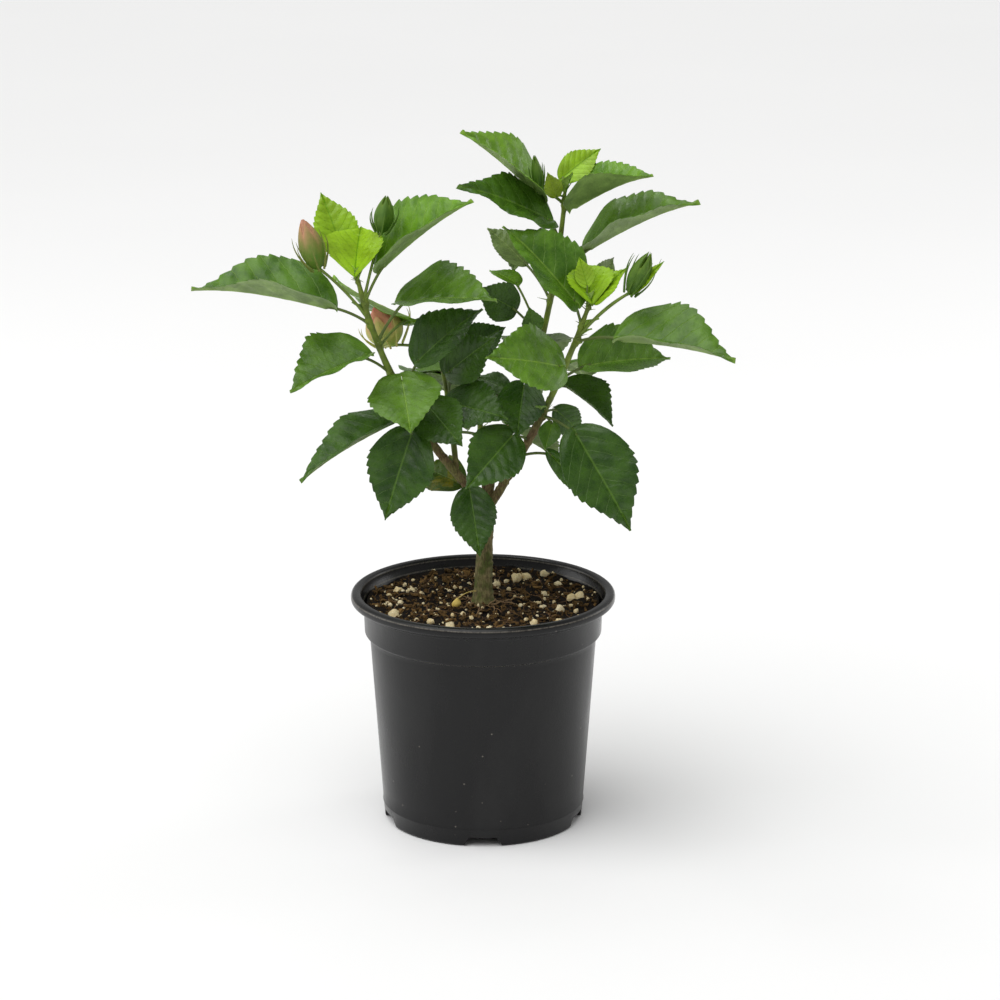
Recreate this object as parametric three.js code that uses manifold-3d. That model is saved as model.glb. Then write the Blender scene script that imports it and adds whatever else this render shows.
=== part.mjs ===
// A young hibiscus shrub growing in a round nursery pot.
// Millimetres, +Z up. The origin is the centre of the pot's flat underside.
// A short woody trunk forks into three boughs and two thin stems. Each tier of leaves and
// buds is one closed solid, which wraps the stretch of bough that it grows from.

import * as THREE from 'three';
import { mergeVertices } from 'three/addons/utils/BufferGeometryUtils.js';
import Module from 'manifold-3d';

const wasm = await Module();
wasm.setup();

// ---------------------------------------------------------------- driving dimensions

const GAP = 0.35;              // clear space kept between touching pieces

const POT_HEIGHT = 139;
const RIM_RADIUS = 78;
const RIM_OPENING = 72;
const RIM_DEPTH = 6.5;         // height of the rolled lip
const BAND_RADIUS = 70.5;      // the stacking band under the lip
const BAND_DEPTH = 26;         // from the rim's top to the step under the band
const SHOULDER_RADIUS = 67;    // the wall just under the step
const FOOT_RADIUS = 59;
const FOOT_LINE = 10;          // height of the moulded line round the foot
const WALL = 1.6;
const FLOOR = 2.4;
const NOTCHES = 5;
const NOTCH_HEIGHT = 5.5;
const NOTCH_WIDTH = 24;
const POT_SIDES = 26;

const MIX_LEVEL = 131.5;       // surface of the potting mix
const MIX_SWELL = 1.3;         // how far the surface rises and falls away from the trunk
const MIX_FLAT = 12;           // radius of the level patch round the trunk
const MIX_SIDES = 18;

const TRUNK_FOOT = [0, 0, MIX_LEVEL + GAP];
const LIMB_SIDES = 6;
const LIMB_STEPS = 8;
const CLASP = 1.5;             // how far a tier stands out round its bough
const CLASP_REACH = 0.02;      // share of the bough that it covers past its end leaves
const STALK_RADIUS = 1.3;
const STALK_OVERLAP = 3;       // how far a stalk runs into its blade
const BLADE_STEPS = 6;
const SMALL_LEAF = 30;          // blades shorter than this have fewer steps
const SMALL_BLADE_STEPS = 4;
const LEAF_THICKNESS = 2.6;
const LEAF_FOLD = 14;          // degrees that each half of a leaf is raised, unless it says
const LEAF_ARCH = 0.03;        // rise of the middle of a leaf over its length

// ---------------------------------------------------------------- solids and meshes

function solidOf(geometry) {
  const bare = geometry.clone();
  bare.deleteAttribute('normal');
  bare.deleteAttribute('uv');
  const merged = mergeVertices(bare, 1e-4);
  return new wasm.Manifold(new wasm.Mesh({
    numProp: 3,
    vertProperties: Float32Array.from(merged.attributes.position.array),
    triVerts: Uint32Array.from(merged.index.array),
  }));
}

function geometryOf(solid) {
  const mesh = solid.getMesh();
  const geometry = new THREE.BufferGeometry();
  geometry.setAttribute('position', new THREE.BufferAttribute(mesh.vertProperties, 3));
  geometry.setIndex(new THREE.BufferAttribute(mesh.triVerts, 1));
  geometry.computeVertexNormals();
  return geometry;
}

function largestPiece(solid) {
  return solid.decompose().reduce((a, b) => (a.volume() > b.volume() ? a : b));
}

// ---------------------------------------------------------------- directions and courses

const UP = new THREE.Vector3(0, 0, 1);

function direction(heading, rise) {
  const h = THREE.MathUtils.degToRad(heading);
  const r = THREE.MathUtils.degToRad(rise);
  return new THREE.Vector3(Math.cos(h) * Math.cos(r), Math.sin(h) * Math.cos(r), Math.sin(r));
}

// A curve of a given length that turns evenly from one heading and rise to another.
function course(start, length, heading, rise) {
  const point = start.clone();
  const points = [point.clone()];
  for (let i = 0; i < LIMB_STEPS; i += 1) {
    const share = (i + 0.5) / LIMB_STEPS;
    const way = direction(THREE.MathUtils.lerp(...heading, share),
      THREE.MathUtils.lerp(...rise, share));
    point.addScaledVector(way, length / LIMB_STEPS);
    points.push(point.clone());
  }
  return new THREE.CatmullRomCurve3(points);
}

// A closed tube along a stretch of a curve; radiusAt gives its radius at each share of the
// way, and reach is how far its two ends stand past the stretch.
function taperedTube(curve, radiusAt, { steps = LIMB_STEPS, from = 0, to = 1, reach = 0 } = {}) {
  const geometry = new THREE.CylinderGeometry(1, 1, 1, LIMB_SIDES, steps);
  const frames = curve.computeFrenetFrames(LIMB_STEPS);
  const place = geometry.attributes.position;
  for (let i = 0; i < place.count; i += 1) {
    const along = place.getY(i);
    const share = THREE.MathUtils.lerp(from, to, along + 0.5);
    const frame = Math.round(share * LIMB_STEPS);
    const radius = radiusAt(share);
    const past = Math.abs(along) > 0.499 ? Math.sign(along) * reach : 0;
    const point = curve.getPointAt(share)
      .addScaledVector(frames.tangents[frame], past)
      .addScaledVector(frames.normals[frame], place.getX(i) * radius)
      .addScaledVector(frames.binormals[frame], -place.getZ(i) * radius);
    place.setXYZ(i, point.x, point.y, point.z);
  }
  return geometry;
}

// ---------------------------------------------------------------- pot and potting mix

function wallRadius(height) {
  const share = height / (POT_HEIGHT - BAND_DEPTH);
  return THREE.MathUtils.lerp(FOOT_RADIUS, SHOULDER_RADIUS, share);
}

function potGeometry() {
  const step = POT_HEIGHT - BAND_DEPTH;
  const lip = POT_HEIGHT - RIM_DEPTH;
  const outline = [
    [0, 0], [FOOT_RADIUS - 1.5, 0], [FOOT_RADIUS, 1.5],
    [wallRadius(FOOT_LINE - 0.5), FOOT_LINE - 0.5], [wallRadius(FOOT_LINE) + 0.4, FOOT_LINE],
    [wallRadius(step), step],
    [BAND_RADIUS - 1.2, step + 0.8], [BAND_RADIUS - 0.6, step + 2.4],
    [BAND_RADIUS, lip - 2.4], [BAND_RADIUS + 2.4, lip - 1.8], [BAND_RADIUS + 2.8, lip],
    [RIM_RADIUS - 1.2, lip + 0.6], [RIM_RADIUS, lip + 3.2],
    [RIM_RADIUS - 1, POT_HEIGHT - 1], [RIM_RADIUS - 3, POT_HEIGHT],
    [RIM_OPENING + 1.4, POT_HEIGHT - 0.6], [RIM_OPENING, POT_HEIGHT - 2.4],
    [BAND_RADIUS - WALL, lip - 2.4], [BAND_RADIUS - WALL - 0.8, step + 2],
    [wallRadius(step) - WALL, step - 1], [FOOT_RADIUS - WALL, FLOOR], [0, FLOOR],
  ];
  const lathe = new THREE.LatheGeometry(outline.map(([r, z]) => new THREE.Vector2(r, z)), POT_SIDES);
  lathe.rotateX(Math.PI / 2);
  let pot = solidOf(lathe);
  for (let i = 0; i < NOTCHES; i += 1) {
    pot = pot.subtract(notchSolid(-90 + i * 360 / NOTCHES));
  }
  return geometryOf(pot);
}

// A trapezoid drain notch in the foot, facing a compass heading.
function notchSolid(heading) {
  const half = NOTCH_WIDTH / 2;
  const depth = 6;
  const outline = new THREE.Shape([
    new THREE.Vector2(-half, -1), new THREE.Vector2(half, -1),
    new THREE.Vector2(half - 3, NOTCH_HEIGHT), new THREE.Vector2(3 - half, NOTCH_HEIGHT),
  ]);
  const geometry = new THREE.ExtrudeGeometry(outline, { depth: 2 * depth, bevelEnabled: false });
  geometry.rotateX(Math.PI / 2);
  geometry.translate(0, -(FOOT_RADIUS - depth), 0);
  geometry.rotateZ(THREE.MathUtils.degToRad(heading + 90));
  return solidOf(geometry);
}

// The mix fills the pot to just under the band, with a gently uneven surface.
function mixGeometry() {
  const top = MIX_LEVEL;
  const step = POT_HEIGHT - BAND_DEPTH;
  const edge = BAND_RADIUS - WALL - 0.8;
  const outline = [
    [0, FLOOR + GAP], [FOOT_RADIUS - WALL - 1, FLOOR + GAP],
    [wallRadius(step) - WALL - 1, step - 2], [edge - 1.4, step + 4],
    [edge, top - 2.5], [edge, top], [50, top], [30, top], [MIX_FLAT, top], [0, top],
  ];
  const geometry = new THREE.LatheGeometry(outline.map(([r, z]) => new THREE.Vector2(r, z)), MIX_SIDES);
  geometry.rotateX(Math.PI / 2);
  const place = geometry.attributes.position;
  for (let i = 0; i < place.count; i += 1) {
    const x = place.getX(i);
    const y = place.getY(i);
    if (place.getZ(i) < top - 0.01 || Math.hypot(x, y) < MIX_FLAT + 0.01) continue;
    const swell = Math.sin(x * 0.11 + 1) * Math.cos(y * 0.09 - 0.5);
    place.setZ(i, top + MIX_SWELL * swell);
  }
  return geometry;
}

// ---------------------------------------------------------------- trunk, boughs and stems

function limb(start, length, heading, rise, radii, flare = 0) {
  const curve = course(start, length, heading, rise);
  const radiusAt = (share) => THREE.MathUtils.lerp(...radii, share) + flare * Math.exp(-share * 9);
  return { curve, radiusAt };
}

const trunk = limb(new THREE.Vector3(...TRUNK_FOOT), 62, [0, 0], [89, 86], [5.5, 5.0], 2.0);
const fork = trunk.curve.getPointAt(1);
const below = (drop) => fork.clone().add(new THREE.Vector3(0, 0, -drop));
const left_bough = limb(below(3), 160, [186, 194], [45, 78], [3.2, 1.7]);
const right_bough = limb(below(5), 142, [350, 330], [58, 70], [3.2, 1.6]);
const centre_bough = limb(below(2), 190, [30, 10], [64, 86], [3.4, 1.6]);
const back_stem = limb(below(4), 78, [105, 95], [62, 68], [2.4, 1.5]);
const inner_stem = limb(left_bough.curve.getPointAt(0.17), 78, [110, 160], [78, 78], [2.0, 1.2]);
const limbs = { trunk, left_bough, right_bough, centre_bough, back_stem, inner_stem };

function limbSolid({ curve, radiusAt }, extra = 0) {
  return solidOf(taperedTube(curve, (share) => radiusAt(share) + extra, { reach: extra }));
}

// ---------------------------------------------------------------- leaves and buds

// Sets a shape that lies along +X at a point, turned to a heading, a pitch and a roll.
function aim(geometry, point, heading, pitch, roll) {
  const axis = direction(heading, pitch);
  const side = direction(heading - 90, 0);
  const face = side.clone().cross(axis);
  const turn = THREE.MathUtils.degToRad(roll);
  const normal = face.multiplyScalar(Math.cos(turn)).addScaledVector(side, Math.sin(turn));
  const across = normal.clone().cross(axis);
  geometry.applyMatrix4(new THREE.Matrix4().makeBasis(axis, across, normal).setPosition(point));
  return geometry;
}

// An ovate blade along +X, widest near its base, folded along its midrib and arched.
function bladeGeometry(length, width, extra, fold) {
  const steps = length < SMALL_LEAF ? SMALL_BLADE_STEPS : BLADE_STEPS;
  const geometry = new THREE.SphereGeometry(1, 4, steps);
  const place = geometry.attributes.position;
  const rise = Math.tan(THREE.MathUtils.degToRad(fold));
  for (let i = 0; i < place.count; i += 1) {
    const share = Math.acos(THREE.MathUtils.clamp(place.getY(i), -1, 1)) / Math.PI;
    const ring = Math.max(Math.sin(share * Math.PI), 1e-6);
    const across = place.getX(i) / ring;
    const up = place.getZ(i) / ring;
    const fullness = Math.sin(Math.PI * share ** 0.68);
    const half = (width / 2 + extra) * fullness;
    const thick = (LEAF_THICKNESS / 2 + extra) * Math.sqrt(fullness);
    const arch = LEAF_ARCH * length * 4 * share * (1 - share);
    const end = extra * Math.sign(share - 0.5) * (ring < 1e-3 ? 1 : 0);
    place.setXYZ(i, share * length + end, across * half,
      up * thick + Math.abs(across) * half * rise + arch);
  }
  return geometry;
}

// A bud is a pointed egg along +X.
function budGeometry(length, width, extra) {
  const geometry = new THREE.SphereGeometry(1, 5, 4);
  const place = geometry.attributes.position;
  for (let i = 0; i < place.count; i += 1) {
    const share = (1 - place.getY(i)) / 2;
    const narrowing = 1.15 - 0.4 * share;
    const radius = (width / 2 + extra) * narrowing;
    place.setXYZ(i, share * length, place.getX(i) * radius, place.getZ(i) * radius);
  }
  return geometry;
}

// up: share of the way along the limb. stalk: length, heading, rise.
// blade: length, width, heading, pitch, roll of the leaf's upper face and, for some, its fold.
const leaf = (up, stalk, blade) => ({ up, stalk, blade, shape: bladeGeometry });
const bud = (up, stalk, blade) => ({ up, stalk, blade, shape: budGeometry });

function leafSolid(limb, { up, stalk, blade, shape }, extra) {
  const start = limb.curve.getPointAt(up);
  const [reach, stalkHeading, rise] = stalk;
  const [length, width, heading, pitch, roll, fold = LEAF_FOLD] = blade;
  const base = start.clone().addScaledVector(direction(stalkHeading, rise), reach);
  const stalkEnd = base.clone().addScaledVector(direction(heading, pitch), STALK_OVERLAP);
  const line = new THREE.CylinderGeometry(STALK_RADIUS + extra, STALK_RADIUS + extra, 1, 3);
  line.rotateX(Math.PI / 2);
  line.translate(0, 0, 0.5);
  const way = stalkEnd.clone().sub(start);
  line.scale(1, 1, way.length());
  line.applyQuaternion(new THREE.Quaternion().setFromUnitVectors(UP, way.normalize()));
  line.translate(...start);
  const body = shape(length, width, extra, fold);
  return solidOf(line).add(solidOf(aim(body, base, heading, pitch, roll)));
}

// A tier: its leaves, joined by a sleeve round the stretch of limb that bears them.
function tierSolid({ on, leaves }, extra = 0) {
  const limb = limbs[on];
  const ups = leaves.map(({ up }) => up);
  const from = Math.max(0, Math.min(...ups) - CLASP_REACH);
  const to = Math.min(1, Math.max(...ups) + CLASP_REACH);
  const wrap = (share) => limb.radiusAt(share) + CLASP + extra;
  const sleeve = solidOf(taperedTube(limb.curve, wrap, { steps: 1, from, to, reach: extra }));
  return leaves.reduce((whole, each) => whole.add(leafSolid(limb, each, extra)), sleeve);
}

const tiers = {
  fork_foliage: { on: 'left_bough', leaves: [
    leaf(0.10, [11, 125, 1], [31, 26, 139, 8, -40]),
    leaf(0.10, [10, 274, 0], [39, 27, 295, -66, 25]),
  ] },
  left_low_foliage: { on: 'left_bough', leaves: [
    leaf(0.37, [15, 241, 6], [52, 39, 216, -67, -50]),
    leaf(0.41, [15, 190, 4], [64, 34, 186, -31, -13, 30]),
    leaf(0.37, [18, 294, 64], [34, 30, 311, -31, 46]),
  ] },
  left_middle_foliage: { on: 'left_bough', leaves: [
    leaf(0.55, [12, 282, 40], [41, 42, 280, -32, 12, 10]),
    leaf(0.53, [25, 334, 63], [47, 34, 6, 40, 38, 24]),
    leaf(0.54, [34, 72, 6], [60, 42, 70, -24, 0]),
  ] },
  left_outer_foliage: { on: 'left_bough', leaves: [
    leaf(0.62, [22, 205, 33], [47, 42, 204, -20, -20, 25]),
  ] },
  left_inner_foliage: { on: 'left_bough', leaves: [
    leaf(0.73, [31, 55, 22], [54, 26, 156, 22, -163]),
    leaf(0.75, [30, 345, 56], [57, 46, 339, 6, 20, 26]),
  ] },
  left_far_foliage: { on: 'left_bough', leaves: [
    leaf(0.82, [28, 184, 23], [78, 44, 177, 8, -16, 28]),
    bud(0.84, [43, 194, 47], [30, 15, 193, 73, 0]),
  ] },
  left_high_foliage: { on: 'left_bough', leaves: [
    leaf(0.90, [26, 346, 63], [66, 46, 346, 38, 34, 22]),
    bud(0.91, [43, 336, 74], [22, 11, 327, 80, 0]),
  ] },
  left_tip_foliage: { on: 'left_bough', leaves: [
    leaf(0.99, [19, 160, 52], [37, 26, 135, 62, -28]),
    leaf(0.99, [4, 233, 38], [32, 32, 96, 42, -4, 20]),
  ] },
  inner_low_foliage: { on: 'inner_stem', leaves: [
    leaf(0.40, [16, 267, 53], [40, 34, 327, -6, 41]),
    leaf(0.42, [26, 80, 0], [52, 38, 84, -28, 0]),
  ] },
  inner_high_foliage: { on: 'inner_stem', leaves: [
    leaf(0.52, [21, 286, 82], [35, 30, 343, 39, 74]),
    leaf(0.60, [28, 35, 61], [27, 22, 15, 29, 56]),
  ] },
  inner_tip_foliage: { on: 'inner_stem', leaves: [
    leaf(0.95, [9, 60, 20], [20, 18, 130, 10, -160]),
    bud(0.92, [30, 158, 2], [21, 16, 165, 69, 0]),
  ] },
  right_fork_foliage: { on: 'right_bough', leaves: [
    leaf(0.27, [19, 19, -2], [46, 24, 30, -46, 100, 20]),
    leaf(0.35, [17, 230, 18], [44, 34, 225, -33, -48]),
  ] },
  right_low_foliage: { on: 'right_bough', leaves: [
    leaf(0.47, [29, 315, -13], [63, 44, 332, -57, 42, 18]),
    leaf(0.48, [15, 57, -4], [26, 18, 39, -41, 100]),
    leaf(0.48, [8, 330, -40], [16, 13, 240, -62, -29]),
  ] },
  right_middle_foliage: { on: 'right_bough', leaves: [
    leaf(0.63, [23, 27, 21], [50, 44, 19, 0, 25, 25]),
    leaf(0.69, [13, 255, 24], [53, 42, 216, 14, -53]),
    leaf(0.67, [30, 80, 0], [58, 40, 78, -22, 0]),
  ] },
  right_far_foliage: { on: 'right_bough', leaves: [
    leaf(0.82, [33, 327, 10], [66, 48, 344, -6, 21, 25]),
    bud(0.84, [44, 336, 42], [25, 16, 338, 64, 0]),
  ] },
  right_high_foliage: { on: 'right_bough', leaves: [
    leaf(0.90, [18, 230, 65], [58, 46, 174, 46, -29, 24]),
  ] },
  right_tip_foliage: { on: 'right_bough', leaves: [
    leaf(0.97, [16, 268, 76], [17, 11, 180, 75, -86]),
    leaf(0.98, [16, 70, 42], [22, 17, 47, 40, 82]),
    leaf(0.99, [4, 304, 20], [29, 34, 73, 54, 13, 20]),
  ] },
  centre_low_foliage: { on: 'centre_bough', leaves: [
    leaf(0.33, [16, 131, 21], [23, 15, 148, 13, -40]),
    leaf(0.37, [24, 1, 6], [35, 32, 339, -36, 7, 30]),
    leaf(0.38, [15, 258, 14], [31, 28, 254, -57, -16, 20]),
    leaf(0.35, [30, 100, -4], [58, 40, 98, -34, 0]),
  ] },
  centre_middle_foliage: { on: 'centre_bough', leaves: [
    leaf(0.53, [26, 182, 50], [27, 24, 207, 31, -88]),
    leaf(0.53, [38, 134, 56], [22, 18, 137, 12, 0]),
    leaf(0.53, [10, 228, 53], [15, 13, 233, 69, -137]),
    leaf(0.51, [34, 92, -4], [60, 42, 90, -30, 0]),
  ] },
  centre_side_foliage: { on: 'centre_bough', leaves: [
    leaf(0.66, [30, 131, 39], [30, 22, 155, 38, -35, 24]),
    leaf(0.69, [34, 358, 49], [69, 44, 351, 26, 9, 30]),
  ] },
  centre_high_foliage: { on: 'centre_bough', leaves: [
    leaf(0.81, [25, 242, 59], [65, 36, 210, 24, -38, 18]),
    leaf(0.84, [32, 196, 65], [63, 42, 207, 39, -27, 26]),
    leaf(0.82, [28, 112, -4], [54, 38, 108, -26, 0]),
  ] },
  centre_tip_foliage: { on: 'centre_bough', leaves: [
    leaf(0.95, [8, 330, 10], [50, 40, 344, 26, 9, 30]),
    bud(0.96, [20, 213, 30], [21, 6, 214, 80, 0]),
    leaf(0.98, [9, 234, 15], [15, 11, 203, 69, -106]),
    leaf(0.98, [10, 80, 50], [30, 22, 23, 31, 52]),
  ] },
  back_low_foliage: { on: 'back_stem', leaves: [
    leaf(0.55, [24, 146, -6], [50, 36, 142, -36, 0]),
    leaf(0.60, [24, 40, -6], [48, 34, 44, -36, 0]),
  ] },
  back_tip_foliage: { on: 'back_stem', leaves: [
    leaf(0.97, [14, 180, 15], [38, 28, 165, -4, 0]),
    leaf(0.98, [20, 100, 20], [48, 34, 100, -8, 0]),
  ] },
};

// ---------------------------------------------------------------- the plant in its pot

const looks = {
  pot: { color: 0x262626, roughness: 0.35 },
  mix: { color: 0x3b2a1e, roughness: 1 },
  bark: { color: 0x776a4c, roughness: 0.85 },
  green_stem: { color: 0x78873c, roughness: 0.6 },
  foliage: { color: 0x3f6f2c, roughness: 0.5 },
};

const shrub = new THREE.Group();

function addPiece(name, geometry, look) {
  const mesh = new THREE.Mesh(geometry, new THREE.MeshStandardMaterial({ metalness: 0, ...looks[look] }));
  mesh.name = name;
  shrub.add(mesh);
}

addPiece('pot', potGeometry(), 'pot');
addPiece('potting_mix', mixGeometry(), 'mix');

// Each limb is cut clear of those already placed, so that it springs from the fork.
const placed = [];
for (const [name, shape] of Object.entries(limbs)) {
  let solid = limbSolid(shape);
  for (const earlier of placed) solid = solid.subtract(earlier);
  addPiece(name, geometryOf(largestPiece(solid)), name.endsWith('stem') ? 'green_stem' : 'bark');
  placed.push(limbSolid(shape, GAP));
}
for (const [name, tier] of Object.entries(tiers)) {
  let solid = tierSolid(tier);
  for (const earlier of placed) solid = solid.subtract(earlier);
  addPiece(name, geometryOf(largestPiece(solid)), 'foliage');
  placed.push(tierSolid(tier, GAP));
}

export default shrub;
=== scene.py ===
"""A young hibiscus shrub in a black nursery pot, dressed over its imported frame.

The frame gives the pot, the potting mix, the limbs and one closed mass for each tier of leaves.
Here the limbs get their bark, and each mass gives way to stalked, toothed leaves and buds that
grow on from the limbs. Lengths in the plans are millimetres; Blender's own are metres.
"""
import logging
import math
import random
from dataclasses import dataclass, field
from enum import Enum
from functools import cache
from typing import Callable, Optional, Sequence, Union

import bpy
import numpy as np
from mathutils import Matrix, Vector, noise


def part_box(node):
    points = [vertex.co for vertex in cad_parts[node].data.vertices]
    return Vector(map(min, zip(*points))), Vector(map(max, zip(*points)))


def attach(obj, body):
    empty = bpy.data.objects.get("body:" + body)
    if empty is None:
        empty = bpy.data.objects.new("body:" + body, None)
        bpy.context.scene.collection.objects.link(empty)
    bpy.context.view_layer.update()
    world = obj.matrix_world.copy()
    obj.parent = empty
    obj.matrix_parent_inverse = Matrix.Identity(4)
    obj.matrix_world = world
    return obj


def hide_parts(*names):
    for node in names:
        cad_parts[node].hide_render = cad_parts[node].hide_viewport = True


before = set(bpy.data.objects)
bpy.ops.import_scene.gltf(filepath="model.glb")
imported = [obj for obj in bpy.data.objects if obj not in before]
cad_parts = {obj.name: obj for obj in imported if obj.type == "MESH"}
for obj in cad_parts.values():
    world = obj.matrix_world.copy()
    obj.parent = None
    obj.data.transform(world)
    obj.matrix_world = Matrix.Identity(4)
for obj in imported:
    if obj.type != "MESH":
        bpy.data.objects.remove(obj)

LOG = logging.getLogger("hibiscus")
MM = 0.001
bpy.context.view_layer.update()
GROWTH_SEED = 41
GOLDEN_ANGLE = 137.5
USUAL_FOLD = 14

Triple = tuple[float, float, float]
Colour = tuple[float, float, float]
Faces = list[tuple[int, ...]]
Socket = bpy.types.NodeSocket
Value = Union[float, Socket]
Paint = Union[Colour, Socket]


def linear(red: int, green: int, blue: int) -> Colour:
    """Turns a colour of 0 to 255 steps, as a paint card gives it, into linear light."""
    shares = (value / 255 for value in (red, green, blue))
    return tuple(s / 12.92 if s < 0.04045 else ((s + 0.055) / 1.055) ** 2.4 for s in shares)


def blend(first: Colour, second: Colour, share: float) -> Colour:
    """Mixes two colours by a share of the second."""
    return tuple(a + (b - a) * share for a, b in zip(first, second))


def direction(heading: float, rise: float) -> np.ndarray:
    """Gives the unit vector of a way through the air.

    Args:
        heading: Its turn from +X about +Z, in degrees.
        rise: Its angle over the level, in degrees.

    Returns:
        The vector as an array of three.
    """
    turn, lift = math.radians(heading), math.radians(rise)
    return np.array([math.cos(turn) * math.cos(lift), math.sin(turn) * math.cos(lift),
                     math.sin(lift)])


# ------------------------------------------------------------------------------- shader helpers


class NodeTree:
    """Short calls for laying nodes into a material or a node group."""

    def __init__(self, tree: bpy.types.NodeTree) -> None:
        """Keeps the tree that the nodes go into."""
        self.tree = tree

    def feed(self, socket: Socket, value: Union[Value, Sequence[float]]) -> None:
        """Gives an input its value.

        Args:
            socket: The input.
            value: A plain value to set, or an output to link from.
        """
        if isinstance(value, Socket):
            self.tree.links.new(value, socket)
        else:
            socket.default_value = value

    def add(self, kind: str, inputs: Optional[dict] = None, **settings: object) -> bpy.types.Node:
        """Adds a node.

        Args:
            kind: The node's type name.
            inputs: Socket names or numbers, each with what feeds it.
            settings: Values of the node's own properties.

        Returns:
            The new node.
        """
        node = self.tree.nodes.new(kind)
        for name, value in settings.items():
            setattr(node, name, value)
        for key, value in (inputs or {}).items():
            self.feed(node.inputs[key], value)
        return node

    def math(self, operation: str, *values: Value) -> Socket:
        """Adds a Math node and returns its output."""
        return self.add("ShaderNodeMath", dict(enumerate(values)), operation=operation).outputs[0]

    def times(self, first: Value, second: Value) -> Socket:
        """Multiplies two values and returns the product."""
        return self.math("MULTIPLY", first, second)

    def plus(self, first: Value, second: Value) -> Socket:
        """Adds two values and returns the sum."""
        return self.math("ADD", first, second)

    def minus(self, first: Value, second: Value) -> Socket:
        """Takes the second value from the first and returns what is left."""
        return self.math("SUBTRACT", first, second)

    def ramp(self, value: Value, low: Value, high: Value, to_low: float = 0.0,
             to_high: float = 1.0) -> Socket:
        """Maps a value smoothly from one range onto another and returns the output."""
        node = self.add("ShaderNodeMapRange", {0: value, 1: low, 2: high, 3: to_low, 4: to_high},
                        interpolation_type="SMOOTHSTEP")
        return node.outputs[0]

    def mix(self, share: Value, first: Paint, second: Paint) -> Socket:
        """Mixes two colours.

        Args:
            share: The share of the second colour.
            first: The first colour, plain or linked.
            second: The second colour, plain or linked.

        Returns:
            The output with the mixed colour.
        """
        full = [each if isinstance(each, Socket) else (*each, 1.0) for each in (first, second)]
        node = self.add("ShaderNodeMix", {0: share, 6: full[0], 7: full[1]}, data_type="RGBA")
        return node.outputs[2]

    def noise(self, vector: Socket, scale: Value, detail: float = 4.0,
              roughness: float = 0.55) -> Socket:
        """Adds a noise texture and returns its value."""
        node = self.add("ShaderNodeTexNoise", {"Vector": vector, "Scale": scale,
                                               "Detail": detail, "Roughness": roughness})
        return node.outputs["Fac"]

    def stretched(self, vector: Socket, scale: Triple) -> Socket:
        """Scales coordinates unevenly and returns them."""
        return self.add("ShaderNodeMapping", {"Vector": vector, "Scale": scale}).outputs[0]

    def group(self, tree: bpy.types.NodeTree, **inputs: Value) -> bpy.types.Node:
        """Places a node group.

        Args:
            tree: The group.
            inputs: Its input values, by their names in small letters.

        Returns:
            The group's node.
        """
        node = self.add("ShaderNodeGroup", node_tree=tree)
        for key, value in inputs.items():
            self.feed(node.inputs[key.capitalize()], value)
        return node


class Surface(NodeTree):
    """A material with one Principled shader."""

    def __init__(self, name: str, **shader: float) -> None:
        """Makes the material and sets the constant values of its shader.

        Args:
            name: The material's name.
            shader: Socket values of the Principled shader, with _ for each space.
        """
        self.material = bpy.data.materials.new(name)
        self.material.use_nodes = True
        super().__init__(self.material.node_tree)
        self.tree.nodes.clear()
        self.shader = self.add("ShaderNodeBsdfPrincipled")
        out = self.add("ShaderNodeOutputMaterial")
        self.tree.links.new(self.shader.outputs[0], out.inputs[0])
        for key, value in shader.items():
            self.shader.inputs[key.replace("_", " ")].default_value = value
        self.place = self.add("ShaderNodeTexCoord").outputs["Object"]

    def tint(self) -> Socket:
        """Reads the tint that each point of the mesh carries."""
        return self.add("ShaderNodeAttribute", attribute_name="tint").outputs["Fac"]

    def finish(self, colour: Socket, roughness: Optional[Socket] = None,
               height: Optional[Socket] = None, depth: float = 0.0005) -> bpy.types.Material:
        """Links what varies over the surface.

        Args:
            colour: The base colour.
            roughness: The roughness, where it varies.
            height: The height of the fine relief, if there is any.
            depth: How far a full step of the height stands out, in metres.

        Returns:
            The finished material.
        """
        for value, socket in ((colour, "Base Color"), (roughness, "Roughness")):
            if value is not None:
                self.tree.links.new(value, self.shader.inputs[socket])
        if height is not None:
            bump = self.add("ShaderNodeBump", {"Height": height, "Distance": depth,
                                               "Strength": 1.0})
            self.tree.links.new(bump.outputs[0], self.shader.inputs["Normal"])
        return self.material


def new_group(name: str, inputs: dict[str, float], outputs: Sequence[str]) -> tuple:
    """Starts a shader node group with named number inputs and outputs.

    Args:
        name: The group's name.
        inputs: Input names with their usual values.
        outputs: Output names.

    Returns:
        The group's NodeTree helper, its input node and its output node.
    """
    tree = bpy.data.node_groups.new(name, "ShaderNodeTree")
    for key, value in inputs.items():
        socket = tree.interface.new_socket(key, in_out="INPUT", socket_type="NodeSocketFloat")
        socket.default_value = value
    for key in outputs:
        tree.interface.new_socket(key, in_out="OUTPUT", socket_type="NodeSocketFloat")
    helper = NodeTree(tree)
    return helper, helper.add("NodeGroupInput"), helper.add("NodeGroupOutput")


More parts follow.
